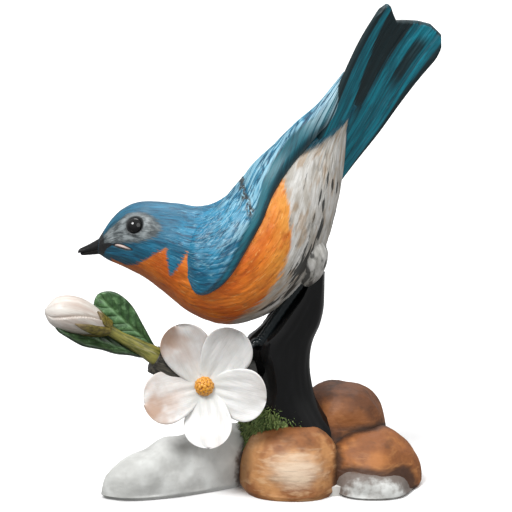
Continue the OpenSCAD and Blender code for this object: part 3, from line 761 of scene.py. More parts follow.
def legs():
    # painted highlight: the bluish tint and its lighter streaks light the black legs blue-grey
    paint = ink_glaze("leg_glaze", 0.12, (0.006, 0.01, 0.012))
    for hand, side in ((1, "left"), (-1, "right")):
        ends = np.array([LEG_TOP, LEG_FOOT]) * [1, -hand, 1]
        path = [[*(ends[0] + (ends[1] - ends[0]) * w), LEG_D / 2 * r]
                for w, r in ((0, 1.15), (0.2, 0.98), (0.5, 0.9), (0.85, 0.95), (1, 1.12))]
        grid, _, _ = limb_grid(path, 90, 28, lambda t, a: 1 + 0.035 * np.sin(t * 22) * (1 - 0.4 * cos(a)))
        add_piece(f"glazed_leg_{side}", *skin(grid), {}, paint, f"leg_{side}", "leg_black")
        parts = []
        for x, y, z in TOES:
            root = np.array([LEG_FOOT[0], -hand * LEG_FOOT[1], LEG_FOOT[2] - 0.4])
            tip = np.array([x, -hand * LEG_FOOT[1] + y, z])
            mid = (root + tip) / 2 + [0, 0, 0.9]
            claw = tip + unit(tip - root) * 0.7 - [0, 0, 0.7]
            path = [[*root, 1.5], [*mid, 1.15], [*tip, 0.8], [*claw, 0.25]]
            toe, _, _ = limb_grid(path, 30, 18, lambda t, a: 1 + 0.06 * np.sin(t * 9))
            parts.append(skin(toe))
        add_piece(f"glazed_foot_{side}", *join(parts), {}, paint, f"foot_{side}", "leg_black")


# ---- stump, twig, leaves and bud ----

def stump():
    m, n = 170, 150
    t = np.linspace(0, len(STUMP) - 1, m)
    s = along(STUMP, t)[:, None]
    a = (np.arange(n) * 360 / n)[None]
    half, x = (s[..., 2] - s[..., 1]) / 2, (s[..., 2] + s[..., 1]) / 2
    flow = np.stack([s[..., 0] + 0 * a, 9 * cos(a) + 0 * s[..., 0], 9 * sin(a) + 0 * s[..., 0]], -1)
    ridge = 1 + 0.05 * cos(5 * a + 3 * s[..., 0]) + 0.035 * noise(flow, (26, 4, 4), 3)
    ridge = ridge + 0.012 * noise(flow, (14, 1.2, 1.2), 4)
    y = s[..., 3] + s[..., 4] * ridge * sin(a)
    grid = np.stack([x + half * ridge * cos(a), y, s[..., 0] + 0 * a], -1)
    add_piece("glazed_stump", *skin(grid), {}, ink_glaze("stump_glaze", 0.14), "stump", "stump_black")


def twig():
    def bark(t, a):
        knots = 0.1 * np.exp(-(((t - 2.6) / 0.2) ** 2)) + 0.06 * np.sin(3 * t + 0.05 * a)
        return 1 + knots + 0.05 * cos(4 * a + 40 * t)
    grid, t, a = limb_grid(TWIG, 110, 60, bark)
    flow = np.stack([t * 8, 3.5 * cos(a), 3.5 * sin(a)], -1)
    out = unit(grid - grid.mean(1, keepdims=True))
    grid = grid + out * (ridges(flow, (6, 1.1, 1.1), 2) * 0.35 - 0.15)[..., None]
    p = Paint("twig_paint", rough=0.5, coat=0.1, coat_rough=0.3)
    furrow = p.step(p.grain((4, 0.9, 0.9), seed=1), 0.4, 0.65)
    colour = p.mix(furrow, (0.022, 0.02, 0.016), (0.11, 0.1, 0.075))
    colour = p.mix(p.step(p.grain((5, 1.6, 1.6), seed=2), 0.58, 0.7, 0.7), colour, (0.2, 0.17, 0.13))
    colour = p.mix(p.step(p.field("run"), 0.55, 0.2, 0.9), colour, (0.01, 0.01, 0.009))
    paint = p.finish(colour, p.grain((3, 0.4, 0.4), seed=3), 0.3)
    points, faces = skin(grid)
    add_piece("painted_twig", points, faces, {"flow": capped(flow), "run": capped(t / 4)}, paint, "twig",
              "twig_brown")


def stem():
    grid, t, a = limb_grid(STEM, 80, 44, lambda t, a: 1 + 0.05 * cos(3 * a + 90) + 0.03 * np.sin(5 * t))
    flow = np.stack([t * 6, 2 * cos(a), 2 * sin(a)], -1)
    p = Paint("stem_paint", rough=0.42, coat=0.15, coat_rough=0.25)
    colour = p.mix(p.step(p.grain((4, 0.8, 0.8), seed=1), 0.35, 0.65), (0.1, 0.11, 0.02), (0.3, 0.28, 0.06))
    colour = p.mix(p.step(p.grain((6, 0.7, 0.7), seed=2), 0.56, 0.66, 0.6), colour, (0.42, 0.38, 0.2))
    low = p.times(p.step(p.field("under"), 0.1, 0.7, 0.8), p.step(p.field("run"), 0.9, 0.3))
    colour = p.mix(low, colour, (0.38, 0.32, 0.28))
    paint = p.finish(colour, p.grain((2, 0.4, 0.4), seed=3), 0.2)
    points, faces = skin(grid)
    add_piece("painted_stem", points, faces,
              {"flow": capped(flow), "run": capped(t / 3), "under": capped(cos(a - 180))}, paint, "stem",
              "stem_olive")


def leaf(name, node, foot, tip, out, wide, bow, fold, thick, paint):
    m, n = 120, 61
    foot, tip = np.array(foot, float), np.array(tip, float)
    way = tip - foot
    long = np.linalg.norm(way)
    side = unit(np.cross(unit(way), out))
    face = unit(np.cross(side, unit(way)))
    u = np.linspace(0, 1, m)[:, None] + np.zeros((1, n))
    v = np.linspace(-1, 1, n)[None] + np.zeros((m, 1))
    w = 2.2 * wide * (u + 0.04) ** 1.3 * (1.0001 - u**2.5) ** 0.6
    wave = 0.35 * np.sin(u * 17 + np.sign(v)) * v**2 * smooth(0, 0.2, u) * smooth(1, 0.8, u)
    rise = bow * sin(180 * u) + fold * np.abs(v) * w / wide + wave
    spot = foot + way * u[..., None] + side * (w * v)[..., None] + face * rise[..., None]
    # midrib and side veins that curve towards the tip
    veins = (u - 0.22 * np.abs(v) ** 1.1) * 7 + 0.25 * (v > 0)
    cell = np.abs(veins % 1 - 0.5) * 2
    groove = -0.22 * np.exp(-((cell / 0.16) ** 2))
    groove = groove * smooth(0.03, 0.12, np.abs(v)) * smooth(1.0, 0.85, np.abs(v))
    puff = 0.22 * cell * (1 - v**2)
    rib = 0.3 * np.exp(-((v * w / 0.5) ** 2))
    rim = np.minimum((1 - np.abs(v)) * w, (1 - u) * long)
    half = thick / 2 * np.sqrt(np.clip(1 - (1 - np.clip(rim / 0.7, 0, 1)) ** 2, 0.05, 1))
    relief = (groove + puff - rib * 0.8) * smooth(0, 0.8, rim)
    top = spot + face * (half + relief)[..., None]
    under = spot - face * (half - relief * 0.8)[..., None]
    flow = np.stack([u * long, v * w, 0 * u], -1)
    fields = {"flow": flow, "vein": 1 - cell, "rib": np.abs(v) * w, "rim": rim, "run": u}
    points, faces = slab(top, under)
    add_piece(name, points, faces, {k: twice(f) for k, f in fields.items()}, paint, node, "leaf_green")


def leaf_paint(name, dark, mid, light):
    p = Paint(name, rough=0.42, coat=0.2, coat_rough=0.25)
    mottle = p.grain(2.4, seed=1)
    colour = p.mix(p.step(mottle, 0.35, 0.65), dark, mid)
    colour = p.mix(p.step(p.plus(p.grain(1.5, seed=2), p.times(p.field("vein"), -0.1)), 0.5, 0.66, 0.7),
                   colour,
                   light)
    colour = p.mix(p.step(p.field("vein"), 0.8, 0.98, 0.5), colour, dark)
    colour = p.mix(p.step(p.field("rib"), 0.7, 0.15, 0.6), colour, light)
    colour = p.mix(p.step(p.field("rim"), 0.6, 0.05, 0.6), colour, tuple(c * 0.5 for c in dark))
    colour = p.mix(p.step(p.field("run"), 0.3, 0.02, 0.7), colour, tuple(c * 0.7 for c in dark))
    return p.finish(colour, p.plus(mottle, p.grain((1.6, 0.3, 1), seed=4)), 0.14)


BUD_END = len(BUD) - 1


def bud_spot(t, a, out):
    """Point of the bud's outside at t stations and angle a, pushed out by that much."""
    s = along(BUD, t)
    step = 0.01
    after, before = along(BUD, np.minimum(t + step, BUD_END)), along(BUD, np.maximum(t - step, 0))
    way = unit(after[..., :3] - before[..., :3])
    side = unit(np.cross(np.array([0.2, 1, 0.3]), way))
    up = np.cross(side, way)
    ring = up * cos(a)[..., None] + side * sin(a)[..., None]
    return s[..., :3] + ring * (s[..., 3] + out)[..., None]


def bud():
    m, n = 120, 120
    t = (BUD_END * np.linspace(0, 1, m) ** 0.95)[:, None] + np.zeros((1, n))
    a = (np.arange(n) * 360 / n)[None] + np.zeros((m, 1))
    # three furled petals: each one's edge laps over the next, winding towards the tip
    wind = ((a + 16 * t + 40) % 360) / 120
    part = wind % 1
    lap = 0.5 * part**1.4 - 0.35 * np.exp(-((part / 0.06) ** 2)) * smooth(0.3, 1.8, t)
    grid = bud_spot(t, a, lap * smooth(0, 1.5, t) * smooth(BUD_END, BUD_END - 1.2, t) - 0.2)
    flow = np.stack([t * 3.3, 5 * cos(a), 5 * sin(a)], -1)
    p = Paint("bud_paint", rough=0.42, coat=0.15, coat_rough=0.3)
    colour = p.mix(p.step(p.grain((8, 2, 2), seed=1), 0.36, 0.66), (0.56, 0.47, 0.41), (0.72, 0.68, 0.62))
    colour = p.mix(p.step(p.field("run"), 0.5, 0.95, 0.6), colour, (0.8, 0.77, 0.73))
    colour = p.mix(p.step(p.field("part"), 0.14, 0.0, 0.55), colour, (0.36, 0.27, 0.22))
    colour = p.mix(p.step(p.grain((5, 1, 1), seed=2), 0.58, 0.72, 0.4), colour, (0.5, 0.36, 0.3))
    colour = p.mix(p.step(p.field("run"), 0.25, 0.05, 0.6), colour, (0.36, 0.31, 0.16))
    paint = p.finish(colour, p.grain((5, 0.6, 0.6), seed=3), 0.14)
    points, faces = skin(grid)
    add_piece("painted_bud", points, faces,
              {"flow": capped(flow), "run": capped(t / BUD_END), "part": capped(part)}, paint,
              "bud", "bud_ivory")
    sepals()


def sepals():
    """Olive sepals that lie on the bud; the two that face front are the longest."""
    p = Paint("sepal_paint", rough=0.4, coat=0.2, coat_rough=0.25)
    colour = p.mix(p.step(p.grain((3, 0.8, 0.8), seed=1), 0.35, 0.65), (0.1, 0.08, 0.012), (0.26, 0.21, 0.04))
    colour = p.mix(p.step(p.field("run"), 0.55, 1.0, 0.7), colour, (0.36, 0.26, 0.16))
    colour = p.mix(p.step(p.field("rim"), 0.3, 0.0, 0.5), colour, (0.07, 0.05, 0.012))
    paint = p.finish(colour, p.grain((2, 0.3, 0.3), seed=2), 0.16)
    parts, run, edge = [], [], []
    for at, reach_to, wide in ((-70, 3.5, 1.5), (-2, 3.2, 1.7), (70, 1.9, 1.8), (142, 2.0, 1.8),
                               (214, 1.9, 1.8)):
        m, n = 50, 17
        u = np.linspace(0, 1, m)[:, None] + np.zeros((1, n))
        v = np.linspace(-1, 1, n)[None] + np.zeros((m, 1))
        t = reach_to * u
        r = along(BUD, t)[..., 3]
        w = wide * (1 - u**2.2) ** 0.75 * (0.7 + 0.5 * sin(150 * u))
        a = at + np.degrees(w * v / np.maximum(r, 1.2)) + 10 * u
        rim = np.clip(1 - np.abs(v) ** 4, 0, 1)
        top = bud_spot(t, a, 0.15 + 0.65 * rim * (1 - 0.5 * u))
        under = bud_spot(t, a, -0.7 + 0 * u)
        parts.append(slab(top, under))
        run.append(twice(u))
        edge.append(twice((1 - np.abs(v)) * w))
    fields = {"run": np.concatenate(run), "rim": np.concatenate(edge)}
    add_piece("painted_sepals", *join(parts), fields, paint,
              "bud_sepals", "sepal_olive")


# ---- the flower ----

def on_flower(p):
    """Turns points about the flower's own middle into place: 80 degrees about X, then -4 about Z."""
    x, y, z = p[..., 0], p[..., 1], p[..., 2]
    y, z = y * cos(80) - z * sin(80), y * sin(80) + z * cos(80)
    x, y = x * cos(-4) - y * sin(-4), x * sin(-4) + y * cos(-4)
    return np.stack([x, y, z], -1) + FLOWER_AT


def petal(k, paint):
    turn, wide, far = PETALS[k]
    m, n, belly, root = 110, 81, 0.6, 2.4
    g = np.linspace(0, 1, m)
    body = g < belly
    swing = np.clip((g - belly) / (1 - belly), 0, 1) * 90
    u = np.where(body, g, belly + (1 - belly) * sin(swing))
    share = np.where(body, 0.5 + 0.5 * sin(90 * g / belly), np.maximum(cos(swing), 0.03))
    u, share = u[:, None] + np.zeros((1, n)), share[:, None]
    v = np.linspace(-1, 1, n)[None] + np.zeros((m, 1))
    x = root + (far - root) * u
    y = wide * share * v
    curl = 1.1 * v * smooth(0, 0.4, u)
    vein = 0.6 * np.exp(-((v / 0.14) ** 2)) * smooth(0.75, 0.2, u)
    pleats = 0.06 * np.cos(v * 15 + k) * smooth(0.0, 0.25, u) * smooth(0.85, 0.4, u)
    wave = 0.45 * noise(np.stack([u * 4 + 3 * k, v * 1.6, 0 * u], -1), 1, k) * u
    rise = FLOWER_CUP * u**1.7 + 1.6 * v * v * u + curl - 0.8 * u**6 + wave - 0.35 * vein + pleats
    rim = np.minimum((1 - np.abs(v)) * wide * share, (1 - u) * (far - root) * 1.6)
    half = PETAL_T / 2 * np.sqrt(np.clip(1 - (1 - np.clip(rim / 0.8, 0, 1)) ** 2, 0.05, 1))
    half = half * (1 - 0.25 * u)
    def place(h):
        across, along_it = x * cos(turn) - y * sin(turn), x * sin(turn) + y * cos(turn)
        return on_flower(np.stack([across, along_it, rise + h], -1))
    points, faces = slab(place(half), place(-half))
    # painted shade: brown-pink over the lower side of the left petals 1 and 5, which face away from the light
    petal_shade = {0: 0.75, 4: 1.0}.get(k, 0.1)
    fields = {"flow": np.stack([x, y, 0 * x], -1), "run": u,
              "petal_shade": np.clip(petal_shade * 1.9 * u * (0.65 + 0.35 * v), 0, 0.95)}
    add_piece(f"petal_blade_{k + 1}", points, faces, {f: twice(w) for f, w in fields.items()}, paint,
              f"petal_{k + 1}", "petal_white")


def petal_paint():
    p = Paint("petal_paint", rough=0.5, coat=0.08, coat_rough=0.35)
    p.shader.inputs["Subsurface Weight"].default_value = 0.12
    p.shader.inputs["Subsurface Radius"].default_value = (1.0, 0.7, 0.5)
    p.shader.inputs["Subsurface Scale"].default_value = 0.8 * MM
    colour = p.mix(p.step(p.grain((6, 2, 2), seed=1), 0.35, 0.65), (0.74, 0.74, 0.725), (0.84, 0.84, 0.83))
    # painted shade: greyer towards the middle of the cup
    colour = p.mix(p.step(p.field("run"), 0.45, 0.0, 0.5), colour, (0.62, 0.64, 0.6))
    # painted shade on the left petals, broken up by a soft grain
    petal_shade = p.times(p.field("petal_shade"), p.step(p.grain((9, 8, 8), seed=2), 0.25, 0.6))
    colour = p.mix(petal_shade, colour, (0.5, 0.33, 0.24))
    colour = p.mix(p.step(p.grain((9, 0.7, 1), seed=3), 0.56, 0.72, 0.12), colour, (0.55, 0.55, 0.5))
    return p.finish(colour, p.plus(p.grain((8, 0.8, 1), seed=4), p.times(p.grain(0.6, seed=5), 0.3)), 0.12)


def flower_button():
    m, n = 60, 120
    up = np.linspace(0, 89.5, m)[:, None] + np.zeros((1, n))
    a = (np.arange(n) * 360 / n)[None] + np.zeros((m, 1))
    way = np.stack([cos(up) * cos(a), cos(up) * sin(a), sin(up)], -1)
    beads = []
    count = 46
    for i in range(count):
        z = 1 - (i + 0.5) / count
        swing = i * 137.508
        r = math.sqrt(1 - z * z)
        beads.append([r * cos(swing), r * sin(swing), z])
    near = (way @ np.array(beads).T).max(-1)
    bead = np.sqrt(np.clip(1 - ((1 - near) / 0.022), 0, 1))
    r = BUTTON_D / 2 * (0.93 + 0.1 * bead)
    local = way * r[..., None] * [1, 1, 0.96] + [0, 0, 0.4]
    p = Paint("button_paint", rough=0.34, coat=0.3, coat_rough=0.15)
    colour = p.mix(p.step(p.field("bead"), 0.1, 0.75), (0.4, 0.11, 0.003), (0.74, 0.32, 0.02))
    colour = p.mix(p.step(p.grain(0.9, seed=1), 0.5, 0.7, 0.8), colour, (0.85, 0.42, 0.06))
    paint = p.finish(colour, p.grain(0.4, seed=2), 0.12)
    points, faces = skin(on_flower(local))
    add_piece("beaded_button", points, faces, {"bead": capped(bead)}, paint, "flower_button", "button_gold")


def calyx():
    m, n = 36, 60
    w = np.linspace(0, 1, m)[:, None] + np.zeros((1, n))
    a = (np.arange(n) * 360 / n)[None] + np.zeros((m, 1))
    rounded = np.sqrt(np.clip(1 - (1 - np.clip(w / 0.06, 0, 1)) ** 2, 0.1, 1))
    r = (1.5 + 1.9 * w**1.4) * (1 + 0.06 * cos(5 * a)) * rounded
    local = np.stack([r * cos(a), r * sin(a), -5.6 + 5.2 * w], -1)
    p = Paint("calyx_paint", rough=0.42, coat=0.15, coat_rough=0.25)
    colour = p.mix(p.step(p.grain(1.2, seed=1), 0.35, 0.65), (0.06, 0.09, 0.02), (0.16, 0.2, 0.06))
    paint = p.finish(colour, p.grain(0.5, seed=2), 0.15)
    add_piece("painted_calyx", *skin(on_flower(local)), {}, paint, "calyx", "sepal_olive")


# ---- the base ----

def rock_grid(at, half, turn, high, rise=0.0, lean=(0, 0), square=2.6, m=120, n=240, dents=0.6, seed=0):
    """A rounded rock's surface, from its flat underside over its side to its crown."""
    t = np.concatenate([np.linspace(0, 0.1, 10)[:-1], 0.1 + 0.895 * sin(np.linspace(0, 90, m - 9))])[:, None]
    a = (np.arange(n) * 360 / n)[None]
    r = np.where(t < 0.1, 0.965 + 0.6 * t, (1 - t**square) ** (1 / square))
    r = np.minimum(r, (1 - np.minimum(t, 0.999) ** square) ** (1 / square))
    r = r * (0.965 + 0.035 * smooth(0, 0.1, t))
    lump = 1 + 0.03 * sin(3 * a + turn) + 0.02 * sin(5 * a + 40)
    x, y = half[0] * r * lump * cos(a), half[1] * r * lump * sin(a)
    z = high * t * (1 + rise * x / half[0])
    grid = np.stack([at[0] + x * cos(turn) - y * sin(turn) + lean[0] * t,
                     at[1] + x * sin(turn) + y * cos(turn) + lean[1] * t, z], -1)
    out = grid_normals(grid, True)
    out *= np.sign((out * (grid - grid.mean((0, 1)))).sum(-1).mean())
    hold = smooth(0.0, 2.0, grid[..., 2])
    # broad soft facets, then finger dents and a little tooth
    soft = noise(grid, 11, seed) * 0.9 + noise(grid, 5.5, seed + 1) * 0.45
    facet = -np.abs(noise(grid, 9, seed + 2)) * 0.9 + 0.3
    tooth = noise(grid, 1.1, seed + 3) * 0.05
    grid = grid + out * ((dents * (soft + facet) + tooth) * hold - 0.25)[..., None]
    grid[..., 2] = np.maximum(grid[..., 2], 0)
    return grid, out, t + 0 * a, a + 0 * t


GREY = dict(at=(-20.4, -2), half=(32.6, 10.6), turn=31, high=17.4, rise=0.24, lean=(0, -0.5))
FRONT = dict(at=(9.4, -8.4), half=(16.0, 13.0), turn=0, high=20.8, lean=(-0.5, 2), square=2.8)
REAR = dict(at=(25.8, 11.4), half=(15.1, 15.8), turn=21, high=29.8, lean=(0, -1), square=3)
RIGHT = dict(at=(34.4, -1.5), half=(16.0, 16.4), turn=-12, high=18.0, rise=0.02, lean=(-1, 3), square=2.4)
WHITE_ROCK = dict(at=(34.6, -8.6), half=(13.2, 11.4), turn=8, high=9.6, lean=(-1, 2), square=2.8)
MOSS = dict(at=(5.6, 6.4), half=(17.4, 13.4), turn=90, high=26, rise=-0.18, lean=(0, -2.4), square=3)


def past(grid, at, half, turn, high, rise=0.0, lean=(0, 0), square=2.6):
    """Rough distance in mm of the points outside a rock, negative inside it."""
    t = np.clip(grid[..., 2] / high, 0, 2)
    x, y = grid[..., 0] - at[0] - lean[0] * t, grid[..., 1] - at[1] - lean[1] * t
    x, y = x * cos(turn) + y * sin(turn), y * cos(turn) - x * sin(turn)
    round_it = np.hypot(x / half[0], y / half[1])
    return ((round_it**square + (t / (1 + rise * x / half[0])) ** square) ** (1 / square) - 1) * 13


def rock(name, node, slot, paint, shape, seed, dents):
    grid, out, t, a = rock_grid(seed=seed, dents=dents, **shape)
    others = [other for other in (GREY, FRONT, REAR, RIGHT, WHITE_ROCK) if other is not shape]
    crease = np.min([past(grid, **other) for other in others], axis=0)
    patch = np.exp(-(((grid[..., 0] - shape["at"][0] - 1) / 10) ** 2) - (((grid[..., 2] - 9.5) / 6.5) ** 2))
    points, faces = skin(grid)
    fields = {"high": capped(t), "crease": capped(crease), "patch": capped(patch * (out[..., 1] < 0))}
    add_piece(name, points, faces, fields, paint, node, slot)


def rock_paint(name, pale, tan, brown, dark, bare):
    """Brushed brown washes over bisque: bare where the brush lifted, dark on the crown, and darkened by
    painted shade in the creases.
    """
    p = Paint(name, rough=0.6)
    brush = p.grain((6, 6, 1.6), seed=1, warp=0.3)
    cloud = p.grain(9, seed=2)
    colour = p.mix(p.step(cloud, 0.36, 0.64), tan, brown)
    colour = p.mix(p.step(brush, 0.5, 0.7, 0.5), colour, pale)
    crown = p.step(p.plus(p.field("high"), p.times(p.plus(cloud, -0.5), 0.7)), 0.62, 0.98, 0.9)
    colour = p.mix(crown, colour, brown)
    colour = p.mix(p.times(crown, p.step(p.grain((6, 6, 3), seed=5), 0.4, 0.72, 0.7)), colour, dark)
    lifted = p.step(p.plus(p.field("patch"), p.times(p.plus(brush, -0.5), 0.7)), 0.25, 1.0, bare)
    colour = p.mix(lifted, colour, (0.78, 0.62, 0.46))
    lines = p.step(p.grain((12, 12, 0.5), seed=3), 0.56, 0.68, 0.4)
    lines = p.times(lines, p.step(p.field("patch"), 0.3, 0.7, bare))
    colour = p.mix(lines, colour, (0.26, 0.23, 0.18))
    # painted shade: dark in the creases where this rock meets the others
    colour = p.mix(p.step(p.plus(p.field("crease"), p.times(brush, 2.0)), 3.2, 0.8, 0.9), colour, dark)
    colour = p.mix(p.step(p.grain((2, 2, 0.7), seed=4), 0.6, 0.76, 0.15), colour, dark)
    return p.finish(colour, p.plus(brush, p.times(p.grain(0.7, seed=6), 0.35)), 0.2)


def marble_paint(name, stain):
    """Pale bisque with soft grey clouds and dark brown painted shade in the creases; stain is how much brown
    runs in from above.
    """
    p = Paint(name, rough=0.55, coat=0.05, coat_rough=0.35)
    cloud = p.grain(10, seed=1, warp=0.2)
    colour = p.mix(p.step(cloud, 0.36, 0.62), (0.48, 0.485, 0.465), (0.65, 0.66, 0.64))
    colour = p.mix(p.step(p.grain(6, seed=2, warp=0.3), 0.52, 0.78, 0.3), colour, (0.26, 0.26, 0.245))
    colour = p.mix(p.step(p.grain(1.4, seed=3), 0.6, 0.75, 0.15), colour, (0.3, 0.28, 0.24))
    ragged = p.times(p.plus(p.grain(2.2, seed=4), -0.5), 0.5)
    colour = p.mix(p.step(p.plus(p.field("high"), ragged), 0.74, 0.9, stain), colour, (0.2, 0.075, 0.022))
    # painted shade: dark brown in the creases where this rock meets the others
    crease = p.step(p.plus(p.field("crease"), p.times(ragged, 5)), 1.6, 0.2, 0.8)
    colour = p.mix(crease, colour, (0.07, 0.03, 0.012))
    return p.finish(colour, p.plus(cloud, p.times(p.grain(0.7, seed=6), 0.3)), 0.2)


def rocks():
    rock("grey_rock", "rock_grey", "rock_grey", marble_paint("grey_marble", 0.0), GREY, 3, 0.9)
    rock("white_rock", "rock_white", "rock_white", marble_paint("white_marble", 0.95), WHITE_ROCK, 13, 0.5)
    tan = rock_paint("tan_wash", (0.7, 0.43, 0.22), (0.56, 0.27, 0.1), (0.28, 0.1, 0.028),
                     (0.06, 0.024, 0.01), 0.85)
    rock("front_rock", "rock_front", "rock_tan", tan, FRONT, 5, 0.5)
    warm = rock_paint("warm_wash", (0.56, 0.25, 0.08), (0.42, 0.155, 0.036), (0.24, 0.078, 0.017),
                      (0.035, 0.012, 0.005), 0.0)
    rock("right_rock", "rock_right", "rock_tan", warm, RIGHT, 7, 0.6)
    umber = rock_paint("umber_wash", (0.36, 0.14, 0.04), (0.25, 0.085, 0.02), (0.13, 0.042, 0.011),
                       (0.018, 0.008, 0.004), 0.0)
    rock("rear_rock", "rock_back", "rock_brown", umber, REAR, 9, 0.7)


def moss_paint():
    p = Paint("moss_paint", rough=0.6)
    colour = p.mix(p.step(p.grain(3.5, seed=1), 0.36, 0.64), (0.1, 0.17, 0.04), (0.25, 0.34, 0.1))
    colour = p.mix(p.step(p.grain(1.0, seed=2), 0.52, 0.7, 0.7), colour, (0.5, 0.55, 0.24))
    colour = p.mix(p.step(p.field("tip"), 0.45, 0.0, 0.8), colour, (0.02, 0.045, 0.008))
    return p.finish(colour, p.grain(0.5, seed=3), 0.25)


def moss():
    grid, out, t, a = rock_grid(seed=17, dents=0.7, **MOSS)
    comb = np.stack([a * 0.32, t * 20, 0 * t], -1)
    tuft = ridges(comb, (1.0, 3.2, 1), 4)
    grid = grid + out * (tuft * 0.7 - 0.9)[..., None]
    points, faces = skin(grid)
    parts, tips = [(points, faces)], [capped(0.15 + 0.35 * tuft)]
    rng = np.random.RandomState(21)
    flat, normal = grid.reshape(-1, 3), out.reshape(-1, 3)
    wanted = np.flatnonzero((flat[:, 2] > 8) & (flat[:, 1] < 14))
    for i in rng.choice(wanted, 2600):
        spot, away = flat[i], unit(normal[i])
        down = unit(np.array([0, 0, -1.0]) - away * -away[2] + rng.normal(0, 0.25, 3))
        lean = unit(away * (0.7 + 0.3 * rng.rand()) + down * 0.9)
        long, wide = 1.3 + 1.1 * rng.rand(), 0.3 + 0.12 * rng.rand()
        side = unit(np.cross(lean, away + [0.01, 0.02, 0.03]))
        face = np.cross(side, lean)
        ring = [spot - lean * 0.4 + side * wide * c + face * wide * 0.6 * s
                for c, s in ((1, 0), (0, 1), (-1, 0), (0, -1))]
        half = [p + (spot - p) * 0.35 + lean * long * 0.6 + away * 0.1 for p in ring]
        tip = spot + lean * long + down * 0.25
        blade = np.array(ring + half + [tip])
        sides = [[j, (j + 1) % 4, (j + 1) % 4 + 4, j + 4] for j in range(4)]
        ends = [[4 + j, 4 + (j + 1) % 4, 8] for j in range(4)] + [[3, 2, 1, 0]]
        parts.append((blade, sides + ends))
        tips.append(np.array([0.1] * 4 + [0.6] * 4 + [1.0]))
    points, faces = join(parts)
    add_piece("combed_moss", points, faces, {"tip": np.concatenate(tips)}, moss_paint(), "moss", "moss_green")


def foot_plate_paint():
    p = Paint("foot_bisque", rough=0.7)
    texture = p.nodes.new("ShaderNodeTexCoord")
    scale = p.nodes.new("ShaderNodeVectorMath")
    scale.operation = "SCALE"
    scale.inputs["Scale"].default_value = 1 / MM
    p.put(scale.inputs[0], texture.outputs["Object"])
    node = p.nodes.new("ShaderNodeTexNoise")
    p.put(node.inputs["Vector"], scale.outputs[0])
    node.inputs["Scale"].default_value = 0.3
    colour = p.mix(p.step(node.outputs["Fac"], 0.35, 0.65), (0.6, 0.58, 0.54), (0.74, 0.73, 0.7))
    return p.finish(colour, node.outputs["Fac"], 0.1)


# ---- stage ----

CAMERA_TARGET = (-1.54, 0.0, 72.2)
CAMERA_FAR, CAMERA_UP, CAMERA_LENS = 590.0, 10.0, 135.0


def camera():
    data = bpy.data.cameras.new("camera")
    data.lens, data.sensor_width = CAMERA_LENS, 36
    data.clip_start, data.clip_end = 0.05, 20
    cam = bpy.data.objects.new("camera", data)
    bpy.context.scene.collection.objects.link(cam)
    cam.location = [(CAMERA_TARGET[0]) * MM, -CAMERA_FAR * cos(CAMERA_UP) * MM,
                    (CAMERA_TARGET[2] + CAMERA_FAR * sin(CAMERA_UP)) * MM]
    cam.rotation_euler = (math.radians(90 - CAMERA_UP), 0, 0)
    bpy.context.scene.camera = cam


def sun(name, azimuth, elevation, strength, spread):
    """A soft distant light from that side of the object, in the view's own angles."""
    data = bpy.data.lights.new(name, "SUN")
    data.energy, data.angle = strength, math.radians(spread)
    lamp = bpy.data.objects.new(name, data)
    bpy.context.scene.collection.objects.link(lamp)
    lamp.rotation_euler = (math.radians(90 - elevation), 0, math.radians(azimuth))


def studio_world():
    """Plain white to look at, and dimmer near the floor as a light, so that black glaze stays black."""
    world = bpy.data.worlds.new("studio")
    world.use_nodes = True
    nodes, links = world.node_tree.nodes, world.node_tree.links
    seen, glow = nodes["Background"], nodes.new("ShaderNodeBackground")
    seen.inputs["Color"].default_value = (1, 1, 1, 1)
    seen.inputs["Strength"].default_value = WORLD_SEEN
    glow.inputs["Color"].default_value = (1, 1, 1, 1)
    place, apart, rise = (nodes.new(f"ShaderNode{kind}") for kind in ("TexCoord", "SeparateXYZ", "MapRange"))
    links.new(place.outputs["Generated"], apart.inputs[0])
    links.new(apart.outputs["Z"], rise.inputs["Value"])
    rise.inputs["From Min"].default_value, rise.inputs["From Max"].default_value = -0.1, 1.0
    rise.inputs["To Min"].default_value, rise.inputs["To Max"].default_value = WORLD_GLOW
    links.new(rise.outputs[0], glow.inputs["Strength"])
    pick, ray = nodes.new("ShaderNodeMixShader"), nodes.new("ShaderNodeLightPath")
    links.new(ray.outputs["Is Camera Ray"], pick.inputs[0])
    links.new(glow.outputs[0], pick.inputs[1])
    links.new(seen.outputs[0], pick.inputs[2])
    links.new(pick.outputs[0], nodes["World Output"].inputs["Surface"])
    return world


WORLD_SEEN = 1.0
WORLD_GLOW = (0.3, 0.8)


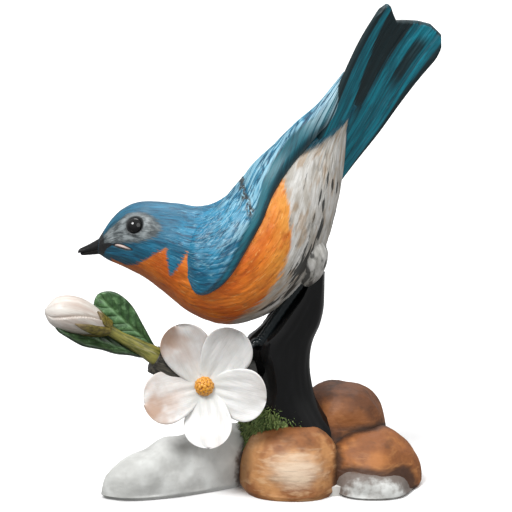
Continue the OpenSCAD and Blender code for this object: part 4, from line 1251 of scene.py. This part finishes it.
def stage():
    scene = bpy.context.scene
    scene.view_settings.view_transform = "Standard"
    scene.world = studio_world()
    side = 8.0
    mesh = bpy.data.meshes.new("floor")
    corners = [(-side, -side, 0), (side, -side, 0), (side, side, 0), (-side, side, 0)]
    mesh.from_pydata(corners, [], [[0, 1, 2, 3]])
    p = Paint("floor_paper", rough=0.9)
    p.put(p.shader.inputs["Base Color"], (0.92, 0.92, 0.92))
    p.shader.inputs["Specular IOR Level"].default_value = 0.0
    mesh.materials.append(p.material)
    floor = bpy.data.objects.new("floor", mesh)
    scene.collection.objects.link(floor)
    # it catches the shadows but throws no white back into the dark glazes
    floor.visible_glossy = floor.visible_diffuse = False
    sun("key", -38, 52, 2.3, 20)
    sun("fill", 40, 35, 0.8, 40)
    sun("back", 170, 60, 0.8, 30)


# ---- the whole figurine ----

camera()
stage()
bird_body()
wing_paint()
wing(1, "combed_wing_left", "wing_left")
wing(-1, "combed_wing_right", "wing_right")
tail()
beak()
ink_glaze("eye_glaze", 0.06)
eye(1, "glass_eye_left", "eye_left")
eye(-1, "glass_eye_right", "eye_right")
thigh_paint()
thigh(1, "feathered_thigh_left", "thigh_left")
thigh(-1, "feathered_thigh_right", "thigh_right")
legs()
stump()
twig()
stem()
leaf("veined_leaf_upper", "leaf_upper", (-32.0, -8.4, 45), (-49.4, -12.6, 62.6), (-0.2, -1, 0.2),
     4.9, 1.2, 1, 1.3,
     leaf_paint("leaf_bright", (0.03, 0.085, 0.025), (0.085, 0.2, 0.07), (0.2, 0.38, 0.17)))
leaf("veined_leaf_lower", "leaf_lower", (-34, -11.4, 42.6), (-61.4, -21, 54.8), (0.3, -0.7, 1),
     4.0, -0.6, 1, 1.3,
     leaf_paint("leaf_deep", (0.012, 0.035, 0.01), (0.035, 0.08, 0.025), (0.1, 0.2, 0.08)))
bud()
petals_white = petal_paint()
for k in range(len(PETALS)):
    petal(k, petals_white)
flower_button()
calyx()
rocks()
moss()
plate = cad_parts["foot_plate"]
plate.data.materials.clear()
plate.data.materials.append(foot_plate_paint())
